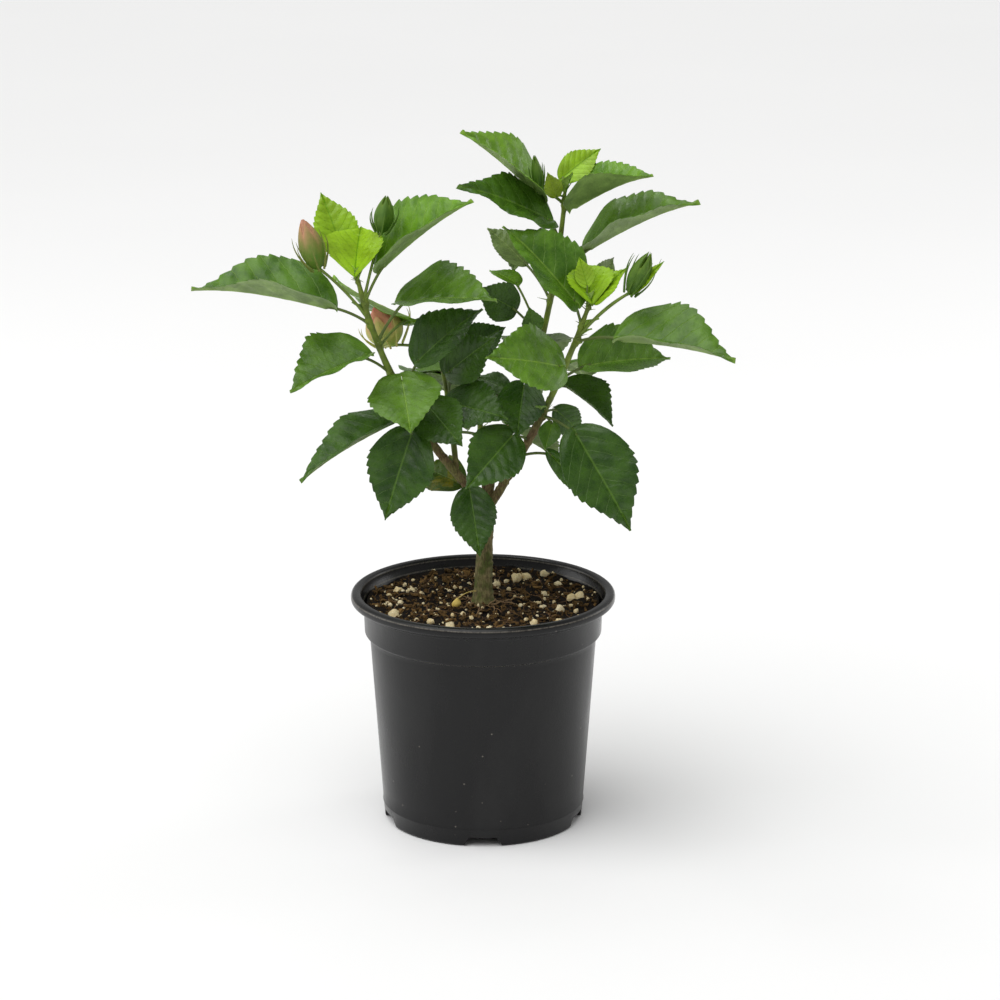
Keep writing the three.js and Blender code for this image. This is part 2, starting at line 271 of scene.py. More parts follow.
class VeinPattern:
    """The run of a leaf's veins, shared by the blade's mesh and its shader."""

    PAIRS = 6.5           # side veins to the length of the blade
    SLANT = 0.72          # how far a vein runs forward for each step outward
    SWEEP = 0.9           # how much more it runs forward near the margin

    @classmethod
    def phase(cls, along: np.ndarray, out: np.ndarray) -> np.ndarray:
        """Gives the vein count at a place, whole on a vein.

        Args:
            along: Distance along the midrib as a share of the length.
            out: Distance from the midrib as a share of the length.

        Returns:
            The count, of the shape of the two arrays.
        """
        return cls.PAIRS * (along - cls.SLANT * out - cls.SWEEP * out ** 2)

    @classmethod
    @cache
    def group(cls) -> bpy.types.NodeTree:
        """Builds the vein node group, once for all leaves.

        Returns:
            The group, which puts out a mask of the veins and how deep they lie in the blade.
        """
        nodes, given, out = new_group("leaf_veins", {"Width": 0.06, "Wander": 0.03},
                                      ("Mask", "Height"))
        uv = nodes.add("ShaderNodeUVMap", uv_map="blade").outputs[0]
        parts = nodes.add("ShaderNodeSeparateXYZ", {0: uv})
        side = nodes.math("ABSOLUTE", nodes.minus(parts.outputs[0], 0.5))
        drift = nodes.minus(nodes.noise(uv, 9.0, 2.0), 0.5)
        forward = nodes.times(side, cls.SLANT)
        curl = nodes.times(nodes.times(side, side), cls.SWEEP)
        along = nodes.minus(nodes.minus(parts.outputs[1], forward), curl)
        along = nodes.plus(along, nodes.times(drift, given.outputs["Wander"]))
        phase = nodes.times(along, cls.PAIRS)
        gap = nodes.math("ABSOLUTE", nodes.minus(nodes.math("FRACT", phase), 0.5))
        near = nodes.minus(0.5, gap)
        veins = nodes.ramp(near, 0.0, given.outputs["Width"], 1.0, 0.0)
        veins = nodes.times(veins, nodes.ramp(side, 0.3, 0.46, 0.75, 0.1))
        rib = nodes.ramp(side, 0.004, 0.016, 1.0, 0.0)
        net = nodes.add("ShaderNodeTexVoronoi", {"Vector": uv, "Scale": 26.0},
                        feature="DISTANCE_TO_EDGE").outputs[0]
        net = nodes.ramp(net, 0.0, 0.16, 0.1, 0.0)
        mask = nodes.math("MAXIMUM", nodes.math("MAXIMUM", veins, rib), net)
        nodes.tree.links.new(mask, out.inputs["Mask"])
        height = nodes.times(mask, -1.0)
        nodes.tree.links.new(height, out.inputs["Height"])
        return nodes.tree


@cache
def mottle_group() -> bpy.types.NodeTree:
    """Builds the uneven tone that growing surfaces share, once for all of them.

    Returns:
        The group, which puts out broad clouds and fine flecks.
    """
    nodes, given, out = new_group("mottle", {"Scale": 60.0, "Contrast": 0.2}, ("Clouds", "Flecks"))
    place = nodes.add("ShaderNodeTexCoord").outputs["Object"]
    low = nodes.minus(0.5, given.outputs["Contrast"])
    high = nodes.plus(0.5, given.outputs["Contrast"])
    for name, times, detail in (("Clouds", 1.0, 3.0), ("Flecks", 9.0, 2.0)):
        scale = nodes.times(given.outputs["Scale"], times)
        value = nodes.noise(place, scale, detail)
        nodes.tree.links.new(nodes.ramp(value, low, high), out.inputs[name])
    return nodes.tree


# ------------------------------------------------------------------------------- finishes


@dataclass(frozen=True)
class LeafFinish:
    """One face of a leaf: its green, its veins and its shine."""

    name: str
    green: Colour
    vein: Colour
    blotch: Optional[Colour] = None
    roughness: float = 0.31
    vein_share: float = 0.6
    raised: bool = False

    def material(self) -> bpy.types.Material:
        """Builds the leaf material, veined by its map and mottled by its place.

        Returns:
            The material.
        """
        surface = Surface(self.name, Specular_IOR_Level=0.32)
        mottle = surface.group(mottle_group(), scale=85.0, contrast=0.17)
        veins = surface.group(VeinPattern.group(), width=0.04, wander=0.035)
        tint = surface.tint()
        dark = blend(self.green, (0.0, 0.012, 0.0), 0.4)
        light = blend(self.green, self.vein, 0.22)
        colour = surface.mix(mottle.outputs["Clouds"], dark, light)
        colour = surface.mix(surface.times(tint, 0.2), colour, self.vein)
        fleck = surface.times(mottle.outputs["Flecks"], 0.14)
        colour = surface.mix(fleck, colour, dark)
        if self.blotch is not None:
            spots = surface.noise(surface.place, 95.0, 3.0)
            colour = surface.mix(surface.ramp(spots, 0.5, 0.62), colour, self.blotch)
        lines = surface.times(veins.outputs["Mask"], self.vein_share)
        colour = surface.mix(lines, colour, self.vein)
        rough = surface.ramp(mottle.outputs["Flecks"], 0.0, 1.0,
                             self.roughness - 0.06, self.roughness + 0.1)
        sign = -1.0 if self.raised else 1.0
        grain = surface.noise(surface.place, 1800.0, 2.0)
        height = surface.plus(surface.times(veins.outputs["Height"], sign),
                              surface.times(grain, 0.35))
        return surface.finish(colour, rough, height, 0.0002)


@dataclass(frozen=True)
class BarkFinish:
    """Bark that turns from grey-brown wood to green skin along the limb."""

    name: str = "bark"
    wood: Colour = linear(124, 104, 74)
    crack: Colour = linear(70, 52, 36)
    lichen: Colour = linear(118, 116, 66)
    skin: Colour = linear(112, 132, 44)
    flush: Colour = linear(88, 102, 40)

    def material(self) -> bpy.types.Material:
        """Builds the bark material, which reads the limb's own age from its tint.

        Returns:
            The material.
        """
        surface = Surface(self.name, Specular_IOR_Level=0.3)
        tint = surface.tint()
        mottle = surface.group(mottle_group(), scale=160.0, contrast=0.16)
        run = surface.stretched(surface.place, (1.0, 1.0, 0.22))
        fibre = surface.noise(run, 1300.0, 5.0, 0.65)
        wood = surface.mix(mottle.outputs["Clouds"], self.wood, self.lichen)
        wood = surface.mix(surface.ramp(fibre, 0.4, 0.6, 0.6, 0.0), wood, self.crack)
        skin = surface.mix(mottle.outputs["Clouds"], self.skin, self.flush)
        skin = surface.mix(surface.ramp(fibre, 0.55, 0.75, 0.0, 0.3), skin, self.wood)
        speckle = surface.times(surface.minus(mottle.outputs["Flecks"], 0.5), 0.22)
        edge = surface.plus(tint, speckle)
        age = surface.ramp(edge, 0.3, 0.72)
        colour = surface.mix(age, wood, skin)
        rough = surface.ramp(age, 0.0, 1.0, 0.82, 0.5)
        relief = surface.times(fibre, surface.ramp(age, 0.0, 1.0, 1.0, 0.25))
        return surface.finish(colour, rough, relief, 0.0006)


@dataclass(frozen=True)
class GreenFinish:
    """A plain growing surface, such as a stalk, a sepal or a petal."""

    name: str
    base: Colour
    flush: Colour
    scale: float = 140.0
    roughness: float = 0.5
    streak: float = 0.2
    cloud: float = 0.3

    def material(self) -> bpy.types.Material:
        """Builds the material: two tones in clouds, with fine streaks along the height.

        Returns:
            The material.
        """
        surface = Surface(self.name, Specular_IOR_Level=0.35)
        mottle = surface.group(mottle_group(), scale=self.scale, contrast=0.2)
        tint = surface.tint()
        clouds = surface.times(mottle.outputs["Clouds"], self.cloud)
        share = surface.plus(clouds, surface.times(tint, 0.8))
        colour = surface.mix(share, self.base, self.flush)
        streaks = surface.noise(surface.stretched(surface.place, (1.0, 1.0, 0.15)), 1500.0, 3.0)
        colour = surface.mix(surface.ramp(streaks, 0.4, 0.7, self.streak, 0.0), colour,
                             blend(self.base, (0.0, 0.0, 0.0), 0.4))
        rough = surface.ramp(mottle.outputs["Flecks"], 0.0, 1.0,
                             self.roughness - 0.06, self.roughness + 0.08)
        return surface.finish(colour, rough, streaks, 0.00025)


@dataclass(frozen=True)
class PlasticFinish:
    """Thin black moulded plastic, satin, a little dusty and scuffed, with painted highlight lines
    along its edges.
    """

    name: str = "pot_plastic"
    black: Colour = linear(12, 12, 13)
    worn: Colour = linear(38, 38, 38)
    # The colour of the dust specks and of the painted highlight lines along the edges.
    dust_and_highlight: Colour = linear(128, 122, 112)
    # Heights in metres of the painted highlight lines at the step, the lip and the rim.
    edges: tuple[float, ...] = (0.1136, 0.1325, 0.1372)

    def material(self) -> bpy.types.Material:
        """Builds the pot's plastic, with painted highlight lines along the edges at the given
        heights in metres.

        Returns:
            The material.
        """
        surface = Surface(self.name, Specular_IOR_Level=0.3)
        broad = surface.noise(surface.stretched(surface.place, (1.0, 1.0, 0.35)), 28.0, 4.0)
        colour = surface.mix(surface.ramp(broad, 0.4, 0.68, 0.0, 0.35), self.black, self.worn)
        scuff = surface.noise(surface.stretched(surface.place, (3.0, 3.0, 0.3)), 260.0, 5.0, 0.7)
        rubs = surface.ramp(scuff, 0.62, 0.74)
        speck = surface.add("ShaderNodeTexVoronoi", {"Vector": surface.place, "Scale": 190.0},
                            feature="F1")
        dots = surface.ramp(speck.outputs["Distance"], 0.05, 0.13, 1.0, 0.0)
        pick = surface.add("ShaderNodeSeparateColor", {0: speck.outputs["Color"]}).outputs[0]
        dots = surface.times(dots, surface.ramp(pick, 0.9, 0.94))
        colour = surface.mix(surface.times(rubs, 0.2), colour, self.worn)
        colour = surface.mix(surface.times(dots, 0.55), colour, self.dust_and_highlight)
        height = surface.add("ShaderNodeSeparateXYZ", {0: surface.place}).outputs[2]
        # Thin pale lines at these heights, broken up by the scuffs, are painted highlights.
        for edge in self.edges:
            near = surface.math("ABSOLUTE", surface.minus(height, edge))
            line = surface.ramp(near, 0.0001, 0.0006, 1.0, 0.0)
            line = surface.times(line, surface.ramp(scuff, 0.35, 0.6, 0.15, 0.5))
            colour = surface.mix(line, colour, self.dust_and_highlight)
        rough = surface.ramp(broad, 0.3, 0.7, 0.2, 0.36)
        rough = surface.plus(rough, surface.times(rubs, 0.15))
        grain = surface.noise(surface.place, 900.0, 3.0)
        waves = surface.times(surface.noise(surface.place, 40.0, 2.0), 2.0)
        return surface.finish(colour, rough, surface.plus(grain, waves), 0.00008)


@dataclass(frozen=True)
class EarthFinish:
    """A crumbly matt surface of two tones, such as peat, wood chips or perlite."""

    name: str
    base: Colour
    other: Colour
    scale: float = 420.0
    relief: float = 0.0012
    roughness: float = 0.95

    def material(self) -> bpy.types.Material:
        """Builds the material, varied from crumb to crumb by the tint, with painted shade in the
        hollows of its relief.

        Returns:
            The material.
        """
        surface = Surface(self.name, Roughness=self.roughness, Specular_IOR_Level=0.2)
        tint = surface.tint()
        grain = surface.noise(surface.place, self.scale, 6.0, 0.7)
        share = surface.plus(surface.ramp(grain, 0.35, 0.7, 0.0, 0.6),
                             surface.times(tint, 0.5))
        colour = surface.mix(share, self.base, self.other)
        pits = surface.noise(surface.place, self.scale * 3.2, 4.0, 0.6)
        # Darker where the fine relief dips: painted shade in the hollows.
        colour = surface.mix(surface.ramp(pits, 0.35, 0.5, 0.5, 0.0), colour,
                             blend(self.base, (0.0, 0.0, 0.0), 0.55))
        return surface.finish(colour, None, surface.plus(grain, pits), self.relief)


@dataclass(frozen=True)
class FloorFinish:
    """The plain pale floor."""

    white: Colour = (0.885, 0.885, 0.885)

    def material(self) -> bpy.types.Material:
        """Builds the floor's matt white.

        Returns:
            The material.
        """
        surface = Surface("pale_floor", Roughness=0.7, Specular_IOR_Level=0.2)
        soft = surface.noise(surface.place, 2.0, 2.0)
        return surface.finish(surface.mix(soft, self.white, blend(self.white, (1, 1, 1), 0.2)))


class Tone(Enum):
    """The ages and greens of the leaves, each with its upper face and its veins."""

    DARK = (linear(36, 72, 8), linear(92, 126, 44))
    MATURE = (linear(50, 92, 10), linear(106, 144, 48))
    MIDDLE = (linear(72, 118, 18), linear(130, 166, 60))
    LIGHT = (linear(88, 140, 14), linear(150, 190, 64))
    YOUNG = (linear(170, 212, 38), linear(108, 162, 28))
    OLIVE = (linear(150, 178, 24), linear(168, 190, 66))
    PALE = (linear(96, 122, 56), linear(150, 170, 104))
    AGEING = (linear(54, 86, 12), linear(108, 134, 40))

    def upper(self) -> LeafFinish:
        """Gives the finish of the upper face.

        Returns:
            The finish, blotched yellow on an ageing leaf.
        """
        green, vein = self.value
        blotch = linear(138, 132, 34) if self is Tone.AGEING else None
        return LeafFinish(f"leaf_{self.name.lower()}", green, vein, blotch)

    def under(self) -> LeafFinish:
        """Gives the finish of the underside.

        Returns:
            A paler, duller finish whose veins stand out.
        """
        green, vein = self.value
        grey = linear(164, 182, 122)
        return LeafFinish(f"underleaf_{self.name.lower()}", blend(green, grey, 0.5),
                          blend(vein, grey, 0.4), roughness=0.6, vein_share=0.45, raised=True)


TONES = list(Tone)


# ------------------------------------------------------------------------------- mesh helpers


@dataclass
class Heap:
    """Points and faces gathered for one joined mesh."""

    points: list[np.ndarray] = field(default_factory=list)
    faces: list[tuple[int, ...]] = field(default_factory=list)
    slots: list[int] = field(default_factory=list)
    tints: list[np.ndarray] = field(default_factory=list)
    uvs: list[np.ndarray] = field(default_factory=list)
    count: int = 0

    def add(self, points: np.ndarray, faces: Faces, slot: Union[int, list[int]] = 0,
            tint: Union[float, np.ndarray] = 0.0, uv: Optional[np.ndarray] = None) -> None:
        """Adds a shape.

        Args:
            points: One row for each vertex, in metres.
            faces: Vertex numbers of each face within this shape.
            slot: The material slot of all its faces, or a list with one for each face.
            tint: The tint of all its vertices, or an array with one for each vertex.
            uv: The place of each vertex on the shape's own map.
        """
        self.points.append(points)
        self.faces.extend(tuple(int(i) + self.count for i in face) for face in faces)
        self.slots.extend([slot] * len(faces) if isinstance(slot, int) else slot)
        self.tints.append(np.broadcast_to(np.asarray(tint, float), (len(points),)))
        self.uvs.append(np.zeros((len(points), 2)) if uv is None else uv)
        self.count += len(points)

    def build(self, name: str, finishes: Sequence[bpy.types.Material],
              sharp: float = 55.0) -> bpy.types.Object:
        """Makes the joined object.

        Args:
            name: Its name.
            finishes: Its materials, in the order of the slots.
            sharp: The angle from which an edge stays sharp, in degrees.

        Returns:
            The object, with its tints, its map and its materials.
        """
        mesh = bpy.data.meshes.new(name)
        mesh.from_pydata(np.concatenate(self.points).tolist(), [], self.faces)
        mesh.update()
        for material in finishes:
            mesh.materials.append(material)
        mesh.polygons.foreach_set("material_index", self.slots)
        tint = mesh.attributes.new("tint", "FLOAT", "POINT")
        tint.data.foreach_set("value", np.concatenate(self.tints).astype(np.float32))
        corners = np.empty(len(mesh.loops), dtype=np.int32)
        mesh.loops.foreach_get("vertex_index", corners)
        layer = mesh.uv_layers.new(name="blade")
        layer.data.foreach_set("uv", np.concatenate(self.uvs)[corners].ravel())
        mesh.shade_smooth()
        mesh.set_sharp_from_angle(angle=math.radians(sharp))
        piece = bpy.data.objects.new(name, mesh)
        bpy.context.scene.collection.objects.link(piece)
        return piece


def grid_faces(rows: int, columns: int, wrap: bool) -> Faces:
    """Lists the quads of a grid of points, row by row.

    Args:
        rows: Number of rows.
        columns: Number of points in a row.
        wrap: Whether the last column joins the first.

    Returns:
        The quads, each as four point numbers.
    """
    across = columns if wrap else columns - 1
    return [(r * columns + c, r * columns + (c + 1) % columns,
             (r + 1) * columns + (c + 1) % columns, (r + 1) * columns + c)
            for r in range(rows - 1) for c in range(across)]


def end_fans(rows: int, sides: int) -> Faces:
    """Lists the triangles that close both ends of a tube of points.

    Args:
        rows: Number of rings.
        sides: Points in a ring.

    Returns:
        The triangles; the two points that follow the rings are the middles of the ends.
    """
    last, top = rows * sides, (rows - 1) * sides
    return ([(last, (i + 1) % sides, i) for i in range(sides)]
            + [(last + 1, top + i, top + (i + 1) % sides) for i in range(sides)])


def turned(face: Sequence[int]) -> tuple[int, ...]:
    """Turns a face over and keeps its first corner, and so the diagonal that splits it."""
    return (face[0], *reversed(face[1:]))


def slab_faces(rows: int, columns: int) -> tuple[Faces, Faces, Faces]:
    """Lists the quads of a thin slab between two grids of points, upper grid first.

    Args:
        rows: Number of rows.
        columns: Number of points in a row.

    Returns:
        The quads of the upper face, of the underside and of the rim.
    """
    count = rows * columns
    grid = grid_faces(rows, columns, False)
    under = [tuple(i + count for i in face) for face in grid]
    edge = (list(range(columns))
            + [r * columns + columns - 1 for r in range(1, rows)]
            + [(rows - 1) * columns + c for c in range(columns - 2, -1, -1)]
            + [r * columns for r in range(rows - 2, 0, -1)])
    rim = [(b, b + count, a + count, a) for a, b in zip(edge, edge[1:] + edge[:1])]
    return [turned(face) for face in grid], under, rim


def frames_along(points: np.ndarray) -> tuple[np.ndarray, np.ndarray]:
    """Gives two directions square to a line at each of its points, carried without twist.

    Args:
        points: The line.

    Returns:
        Two arrays of unit vectors, with a row for each point.
    """
    tangents = np.gradient(points, axis=0)
    tangents /= np.linalg.norm(tangents, axis=1, keepdims=True)
    first = np.cross(tangents[0], (0.31, 0.83, 0.46))
    sides = []
    for tangent in tangents:
        first = first - tangent * np.dot(first, tangent)
        first /= np.linalg.norm(first)
        sides.append(first)
    sides = np.array(sides)
    return sides, np.cross(tangents, sides)


def sweep(heap: Heap, points: np.ndarray, radii: np.ndarray, sides: int, slot: int = 0,
          tint: Union[float, np.ndarray] = 0.0, relief: Optional[np.ndarray] = None) -> None:
    """Sweeps a closed tube along a line and adds it to a heap.

    Args:
        heap: Where the tube goes.
        points: The line, in metres.
        radii: The tube's radius at each point.
        sides: Points round the tube.
        slot: Its material slot.
        tint: One tint, or one for each point of the line.
        relief: Heights over the radius, a row for each point of the line.
    """
    first, second = frames_along(points)
    angles = np.linspace(0, 2 * math.pi, sides, endpoint=False)
    reach = np.repeat(radii[:, None], sides, axis=1)
    if relief is not None:
        reach = reach + relief
    rings = (points[:, None, :]
             + first[:, None, :] * (np.cos(angles) * reach)[..., None]
             + second[:, None, :] * (np.sin(angles) * reach)[..., None])
    rows = len(points)
    body = rings.reshape(-1, 3)
    faces = grid_faces(rows, sides, True) + end_fans(rows, sides)
    body = np.vstack([body, points[0], points[-1]])
    tints = np.asarray(tint, float)
    if tints.ndim:
        tints = np.concatenate([np.repeat(tints, sides), [tints[0], tints[-1]]])
    heap.add(body, faces, slot, tints)


def smooth_noise(points: np.ndarray, scale: Sequence[float]) -> np.ndarray:
    """Gives a smooth noise value at each point.

    Args:
        points: An array of places, in metres.
        scale: The noise's own scale along each axis.

    Returns:
        The values, in the shape of the array of places.
    """
    shape = points.shape[:-1]
    flat = points.reshape(-1, 3) * np.asarray(scale)
    return np.array([noise.noise(Vector(p)) for p in flat]).reshape(shape)


def start_piece() -> None:
    """Leaves edit mode and deselects everything, before a new primitive."""
    if bpy.context.object is not None and bpy.context.object.mode != "OBJECT":
        bpy.ops.object.mode_set(mode="OBJECT")
    bpy.ops.object.select_all(action="DESELECT")


def settle(piece: bpy.types.Object) -> None:
    """Puts an object's place, turn and size into its mesh.

    Args:
        piece: The object.
    """
    bpy.ops.object.select_all(action="DESELECT")
    piece.select_set(True)
    bpy.context.view_layer.objects.active = piece
    bpy.ops.object.transform_apply(location=True, rotation=True, scale=True)


def apply_modifier(piece: bpy.types.Object, kind: str, **settings: object) -> None:
    """Adds a modifier to a piece and applies it.

    Args:
        piece: The object.
        kind: The modifier's type.
        settings: Values of its properties.
    """
    bpy.context.view_layer.objects.active = piece
    modifier = piece.modifiers.new(kind.lower(), kind)
    for key, value in settings.items():
        setattr(modifier, key, value)
    bpy.ops.object.modifier_apply(modifier=modifier.name)


def dress(piece: bpy.types.Object, slot: str, *nodes: str) -> None:
    """Rides a piece on the root body and reports it.

    Args:
        piece: The finished piece.
        slot: The slot of the record that it is made of. It is not used.
        nodes: The frame's nodes that it stands for.
    """
    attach(piece, "root")
    if nodes:
        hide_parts(*nodes)
    LOG.info("%s: %d faces", piece.name, len(piece.data.polygons))


# ------------------------------------------------------------------------------- pot


@dataclass
class NurseryPot:
    """The thin-walled pot: rolled lip, stacking band, step, foot line and drain notches."""

    height: float = 139.0
    rim: float = 78.0
    opening: float = 72.0
    lip_depth: float = 6.5
    band: float = 70.5
    band_depth: float = 26.0
    shoulder: float = 67.0
    foot: float = 59.0
    foot_line: float = 10.0
    wall: float = 1.6
    floor: float = 2.4
    notches: int = 5
    notch_height: float = 5.5
    notch_width: float = 24.0
    notch_depth: float = 32.0
    notch_slope: float = 8.0
    edge_round: float = 0.25
    sides: int = 160

    def wall_radius(self, height: float) -> float:
        """Gives the outer radius of the tapered wall at a height."""
        return self.foot + (self.shoulder - self.foot) * height / (self.height - self.band_depth)

    @staticmethod
    def arc(centre: tuple[float, float], radius: float, start: float, end: float,
            steps: int) -> list[tuple[float, float]]:
        """Lists the points of an arc in the pot's section.

        Args:
            centre: The radius and height of its centre.
            radius: Its own radius.
            start: The angle of its first point, in degrees.
            end: The angle of its last point.
            steps: Number of points.

        Returns:
            The radius and height of each point.
        """
        turns = np.radians(np.linspace(start, end, steps))
        return [(centre[0] + radius * math.cos(a), centre[1] + radius * math.sin(a))
                for a in turns]

    def section(self) -> list[tuple[float, float]]:
        """Draws the wall's section, from the foot up, over the lip and down inside.

        Returns:
            The radius and height of each ring.
        """
        step = self.height - self.band_depth
        lip = self.height - self.lip_depth
        rings = self.arc((self.foot - 1.5, 1.5), 1.5, -90, -4, 5)
        line = self.foot_line
        rings += [(self.wall_radius(line - 0.7), line - 0.7), (self.wall_radius(line) + 0.35, line),
                  (self.wall_radius(line + 0.5) + 0.3, line + 0.5),
                  (self.wall_radius(line + 1.2), line + 1.2)]
        rings += [(self.wall_radius(z), z) for z in np.linspace(line + 8, step - 3, 9)]
        rings += [(self.shoulder - 0.1, step - 0.4), (self.shoulder + 0.25, step + 0.1)]
        rings += self.arc((self.band - 2.2, step + 2.4), 1.7, -80, -5, 5)
        rings += [(self.band, lip - 3.0), (self.band + 0.5, lip - 2.3)]
        rings += self.arc((self.band + 2.0, lip - 1.0), 0.9, -90, 0, 4)
        rings += [(self.band + 2.9, lip + 0.1), (self.band + 3.6, lip + 0.35)]
        rings += self.arc((self.rim - 2.3, lip + 2.7), 2.3, -75, 0, 5)
        rings += self.arc((self.rim - 2.8, self.height - 2.9), 2.8, 5, 90, 6)
        rings += self.arc((self.opening + 1.9, self.height - 2.2), 1.9, 95, 180, 6)
        inner = self.band - self.wall
        rings += [(self.opening - 0.8, lip + 1.0), (inner, lip - 2.4), (inner - 0.8, step + 2)]
        rings += [(self.wall_radius(step) - self.wall, step - 1),
                  (self.foot - self.wall, self.floor)]
        return rings

    def shell(self) -> bpy.types.Object:
        """Raises the wall from a disc, ring by ring.

        Returns:
            The plain pot.
        """
        low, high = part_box("pot")
        centre = (low + high) / 2
        start_piece()
        rings = self.section()
        radius, level = rings[0]
        bpy.ops.mesh.primitive_circle_add(vertices=self.sides, radius=radius * MM,
                                          fill_type="NGON", calc_uvs=False,
                                          location=(centre.x, centre.y, low.z + level * MM))
        pot = bpy.context.object
        pot.name = "nursery_pot"
        settle(pot)
        bpy.ops.object.mode_set(mode="EDIT")
        bpy.ops.mesh.select_all(action="SELECT")
        for new_radius, new_level in rings[1:]:
            bpy.ops.mesh.extrude_region_move(
                TRANSFORM_OT_translate={"value": (0, 0, (new_level - level) * MM)})
            share = new_radius / radius
            bpy.ops.transform.resize(value=(share, share, 1),
                                     center_override=(centre.x, centre.y, 0))
            radius, level = new_radius, new_level
        bpy.ops.mesh.select_all(action="SELECT")
        bpy.ops.mesh.normals_make_consistent(inside=False)
        bpy.ops.object.mode_set(mode="OBJECT")
        return pot

    def cutter(self, index: int) -> bpy.types.Object:
        """Makes the wedge that cuts one drain notch, narrower at its top.

        Args:
            index: The notch's number round the pot.

        Returns:
            The wedge.
        """
        start_piece()
        high = (self.notch_height + 1) * MM
        bpy.ops.mesh.primitive_cube_add(size=1, location=(0, -(self.foot * MM), high / 2 - MM))
        wedge = bpy.context.object
        wedge.scale = (self.notch_width * MM, self.notch_depth * MM, high)
        settle(wedge)
        bpy.ops.object.mode_set(mode="EDIT")
        bpy.ops.mesh.select_all(action="DESELECT")
        bpy.ops.object.mode_set(mode="OBJECT")
        for vertex in wedge.data.vertices:
            vertex.select = vertex.co.z > 0
        bpy.ops.object.mode_set(mode="EDIT")
        narrow = 1 - self.notch_slope / self.notch_width
        bpy.ops.transform.resize(value=(narrow, 1, 1), center_override=(0, 0, 0))
        bpy.ops.object.mode_set(mode="OBJECT")
        wedge.rotation_euler.z = math.tau * index / self.notches
        settle(wedge)
        return wedge

    def build(self) -> bpy.types.Object:
        """Builds the pot, cuts its notches and softens their edges.

        Returns:
            The finished pot.
        """
        pot = self.shell()
        for index in range(self.notches):
            wedge = self.cutter(index)
            apply_modifier(pot, "BOOLEAN", object=wedge, operation="DIFFERENCE", solver="EXACT")
            bpy.data.objects.remove(wedge)
        apply_modifier(pot, "BEVEL", width=self.edge_round * MM, segments=2, limit_method="ANGLE",
                       angle_limit=math.radians(50))
        bpy.context.view_layer.objects.active = pot
        pot.select_set(True)
        bpy.ops.object.shade_smooth_by_angle(angle=math.radians(38))
        pot.data.materials.clear()
        pot.data.materials.append(PlasticFinish().material())
        return pot


# ------------------------------------------------------------------------------- potting mix


class Crumb(Enum):
    """The kinds of lump in the mix."""

    PERLITE = (260, (0.45, 1.5), 5)
    CHIP = (1250, (0.7, 2.3), 6)

    def __init__(self, number: int, sizes: tuple[float, float], shapes: int) -> None:
        """Keeps what tells the kinds apart.

        Args:
            number: Number of lumps.
            sizes: The smallest and largest half length, in millimetres.
            shapes: Number of shapes that the lumps are copied from.
        """
        self.number = number
        self.sizes = sizes
        self.shapes = shapes


